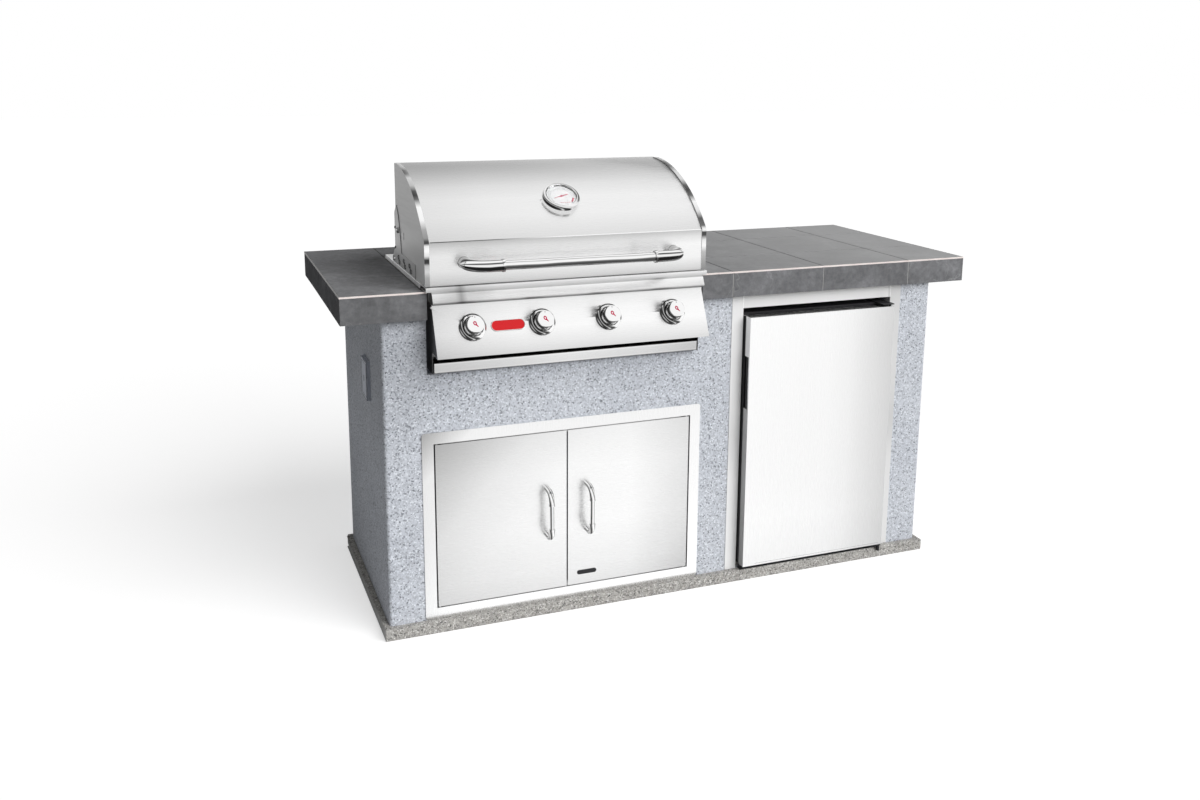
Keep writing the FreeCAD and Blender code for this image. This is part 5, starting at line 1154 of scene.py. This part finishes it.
def dress_hood():
    """The hood's sheets and handle, its seam line with painted shade and highlight, slots drawn in black as
    painted shade, and screws on both sides.
    """
    refined("hood_apron", 0.8, APRON)
    refined("hood_arch", 0.8, ARCH)
    remade(refined("hood_sides", 0.6, SIDE), band_face, LEFT_BAND, RIGHT_BAND)
    handle = frame["nodes"]["hood_handle"]
    handle.data.materials[0] = BAR
    remade(handle, bar_end, BAR_END)
    left, right, top = APRON_SPAN.left + 11.5, APRON_SPAN.right - 11.5, APRON_SPAN.high
    # The seam line carries its steel's painted shade and highlight
    seam = rectangle(left, top - 1.7, right, top + 0.5)
    printed("hood_seam", [seam], on_apron, -0.5, 0.25, SEAM, "hood", "stainless")
    for name, side in SIDES:
        # Painted shade: the slot and two holes are black sheets on the side, for the dark inside them
        slot = [sector(PIVOT_Y, PIVOT_Z, 72.5, 76.0, 178, 190)]
        slot.append(oval(PIVOT_Y - 73.6, PIVOT_Z - 1.6, 3.4, 3.4))
        slot.append(oval(PIVOT_Y - 73.2, PIVOT_Z - 14.4, 3.8, 3.8))
        printed("hood_slot_shade_" + name, slot, hood_place(side), 0, 0.3, BLACK_METAL, "hood", "black_metal")
        screws = bmesh.new()
        for way in (-1, 1):
            place = (GRILL_X + side * COLLAR_OUT, BAR_Y, BAR_Z + way * 16.6)
            lathe(screws, COLLAR_SCREW, place, (0, 0, way), 16)
        piece("collar_screws_" + name, screws, BLACK_METAL, "hood")


# Thermometer

CASE_FOOT = 6.0
CASE_RING = [(0, -0.2), (44, -0.2), (52.5, -3.0), (52.5, CASE_FOOT), (52.5, 13.4), (52.0, 15.6)]
CASE_RING += [(50.6, 17.8), (48.0, 19.5), (45.8, 20.0), (44.0, 19.4), (43.0, 17.8), (43.0, 12.0)]
CASE_RING += [(0, 12.0)]
PROBE = [(0, -90), (4, -90), (4, -0.2), (0, -0.2)]
SCALE_START, SCALE_TURN, SCALE_STEPS = -40, 260, 32
NEEDLE_LEAN = 18
NEEDLE = [(-23.0, -0.5), (0, -1.0), (2.0, -1.7), (20.5, -1.2), (21.5, 0)]
NEEDLE += [(20.5, 1.2), (2.0, 1.7), (0, 1.0), (-23.0, 0.5)]


def dress_case():
    """The thermometer's case, with the probe inside the hood."""
    middle = on_gauge(0, 0, 0)
    out = on_gauge(0, 0, 1) - middle
    bm = bmesh.new()
    lathe(bm, CASE_RING, middle, out, 80)
    lathe(bm, PROBE, middle, out, 20)
    case = piece("thermometer_case_dressed", bm, CASE, "hood", sharp=26)

    def foot_face(face):
        """1 for the case's foot, which takes the hood's brushed steel and its painted tones, a painted
        highlight there.
        """
        return 1 if -3.2 < (face.center / MM - middle).dot(out) < CASE_FOOT else 0

    remade(case, foot_face, ARCH)
    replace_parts(case, "thermometer_case")


def dress_dial():
    """The dial's face, scale and red marks, and the needle."""
    dial = oval(0, 0, 42.6, 42.6, steps=64)
    printed("dial_face", [dial], on_gauge, 11.6, 12.2, DIAL, "hood", "white_plastic")
    ticks = [sector(0, 0, 30.5, 31.0, SCALE_START, 220, 40)]
    for k in range(SCALE_STEPS + 1):
        turn = SCALE_START + SCALE_TURN * k / SCALE_STEPS
        reach = 36.5 if k % 4 == 0 else 34.0
        ticks.append(sector(0, 0, 31.5, reach, turn - 0.5, turn + 0.5, 1))
    printed("dial_print", ticks, on_gauge, 12.1, 12.3, TICKS, "hood", "white_plastic")
    marks = [sector(0, 0, 31.5, 36.0, -42, -14, 10)]
    for across in (-7, -1, 5, 11, 17, 23):
        marks.append(oval(across, -26.5 + abs(across - 4) * 0.08, 1.5, 1.3, steps=10))
    printed("dial_marks", marks, on_gauge, 12.15, 12.4, MARK, "hood", "red_paint")
    needle = bmesh.new()
    plate(needle, leaned(NEEDLE, NEEDLE_LEAN), on_gauge, 13.2, 13.9)
    plate(needle, oval(0, 0, 3.4, 3.4), on_gauge, 13.1, 14.2)
    thing = piece("needle_dressed", needle, MARK, "gauge_needle", 0.15)
    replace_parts(thing, "thermometer_needle")


dress_counter()
dress_outlet()
dress_doors()
dress_fridge()
dress_body()
for side_name, side_way in SIDES:
    dress_rail(side_name, side_way)
    dress_ear(side_name, side_way)
dress_knobs()
dress_hood()
dress_case()
dress_dial()


# Camera, light and floor


FRAME_WIDE, FRAME_HIGH = 1200.0, 800.0
LENS_PIXELS = 1133.18
CENTRE_X, CENTRE_Y = 610.35, 290.04
CAMERA_PLACE = (-1.3616, -3.2463, 1.5739)
SENSOR = 36.0
FLOOR_REACH = 30000


def camera():
    """The photograph's viewpoint: place, turn, tilt, roll and lens."""
    yaw, pitch, roll = 0.3729, -0.1982, 0.0080
    forward = Vector((math.sin(yaw) * math.cos(pitch), math.cos(yaw) * math.cos(pitch), math.sin(pitch)))
    right = Vector((math.cos(yaw), -math.sin(yaw), 0.0))
    up = right.cross(forward)
    level = math.cos(roll) * right + math.sin(roll) * up
    top = -math.sin(roll) * right + math.cos(roll) * up
    turn = Matrix((level, top, -forward)).transposed().to_4x4()
    data = bpy.data.cameras.new("view")
    data.sensor_width = SENSOR
    data.lens = LENS_PIXELS * SENSOR / FRAME_WIDE
    data.shift_x = (FRAME_WIDE / 2 - CENTRE_X) / FRAME_WIDE
    data.shift_y = (CENTRE_Y - FRAME_HIGH / 2) / FRAME_WIDE
    data.clip_end = 60.0
    thing = bpy.data.objects.new("view", data)
    bpy.context.scene.collection.objects.link(thing)
    thing.matrix_world = Matrix.Translation(CAMERA_PLACE) @ turn
    bpy.context.scene.camera = thing


def seen_directly(tree):
    """1 for rays that show the backdrop: from the camera, off gloss, or through glass."""
    path = tree.nodes.new("ShaderNodeLightPath")
    total = path.outputs["Is Camera Ray"]
    for ray in ("Is Glossy Ray", "Is Transmission Ray"):
        join = tree.nodes.new("ShaderNodeMath")
        join.operation = "MAXIMUM"
        tree.links.new(total, join.inputs[0])
        tree.links.new(path.outputs[ray], join.inputs[1])
        total = join.outputs[0]
    return total


def world(level):
    """Soft light of one level from all round, seen as white."""
    sky = bpy.data.worlds.new("studio")
    bpy.context.scene.world = sky
    sky.use_nodes = True
    tree = sky.node_tree
    tree.nodes.clear()
    output = tree.nodes.new("ShaderNodeOutputWorld")
    soft = tree.nodes.new("ShaderNodeBackground")
    soft.inputs["Color"].default_value = (1.0, 1.0, 1.0, 1.0)
    soft.inputs["Strength"].default_value = level
    white = tree.nodes.new("ShaderNodeBackground")
    white.inputs["Color"].default_value = (1.0, 1.0, 1.0, 1.0)
    white.inputs["Strength"].default_value = 1.0
    pick = tree.nodes.new("ShaderNodeMixShader")
    tree.links.new(seen_directly(tree), pick.inputs[0])
    tree.links.new(soft.outputs[0], pick.inputs[1])
    tree.links.new(white.outputs[0], pick.inputs[2])
    tree.links.new(pick.outputs[0], output.inputs["Surface"])


def floor():
    """A pale floor that keeps the object's shadow and looks white around it."""
    bm = bmesh.new()
    block(bm, (-FLOOR_REACH, -FLOOR_REACH, -20), (FLOOR_REACH, FLOOR_REACH, 0))
    mesh = bpy.data.meshes.new("floor")
    bm.to_mesh(mesh)
    bm.free()
    thing = bpy.data.objects.new("floor", mesh)
    bpy.context.scene.collection.objects.link(thing)
    material = bpy.data.materials.new("pale_floor")
    material.use_nodes = True
    tree = material.node_tree
    tree.nodes.clear()
    output = tree.nodes.new("ShaderNodeOutputMaterial")
    matt = tree.nodes.new("ShaderNodeBsdfDiffuse")
    matt.inputs["Color"].default_value = (0.62, 0.62, 0.62, 1.0)
    glow = tree.nodes.new("ShaderNodeEmission")
    lift = tree.nodes.new("ShaderNodeMath")
    lift.operation = "MULTIPLY"
    lift.inputs[1].default_value = 0.57
    tree.links.new(seen_directly(tree), lift.inputs[0])
    tree.links.new(lift.outputs[0], glow.inputs["Strength"])
    both = tree.nodes.new("ShaderNodeAddShader")
    tree.links.new(matt.outputs[0], both.inputs[0])
    tree.links.new(glow.outputs[0], both.inputs[1])
    tree.links.new(both.outputs[0], output.inputs["Surface"])
    mesh.materials.append(material)


def sun(name, towards, strength, width, shadows=True):
    """A soft lamp as wide as an angle in degrees, left out of reflections."""
    data = bpy.data.lights.new(name, "SUN")
    data.energy = strength
    data.angle = math.radians(width)
    thing = bpy.data.objects.new(name, data)
    bpy.context.scene.collection.objects.link(thing)
    thing.rotation_euler = Vector(towards).to_track_quat("-Z", "Y").to_euler()
    thing.visible_glossy = False
    data.use_shadow = shadows


bpy.context.scene.view_settings.view_transform = "Standard"
camera()
world(0.14)
floor()
sun("key", (-0.42, 0.72, -0.55), 3.2, 50.0)
sun("fill", (-0.15, -0.95, -0.12), 1.0, 4.0, shadows=False)
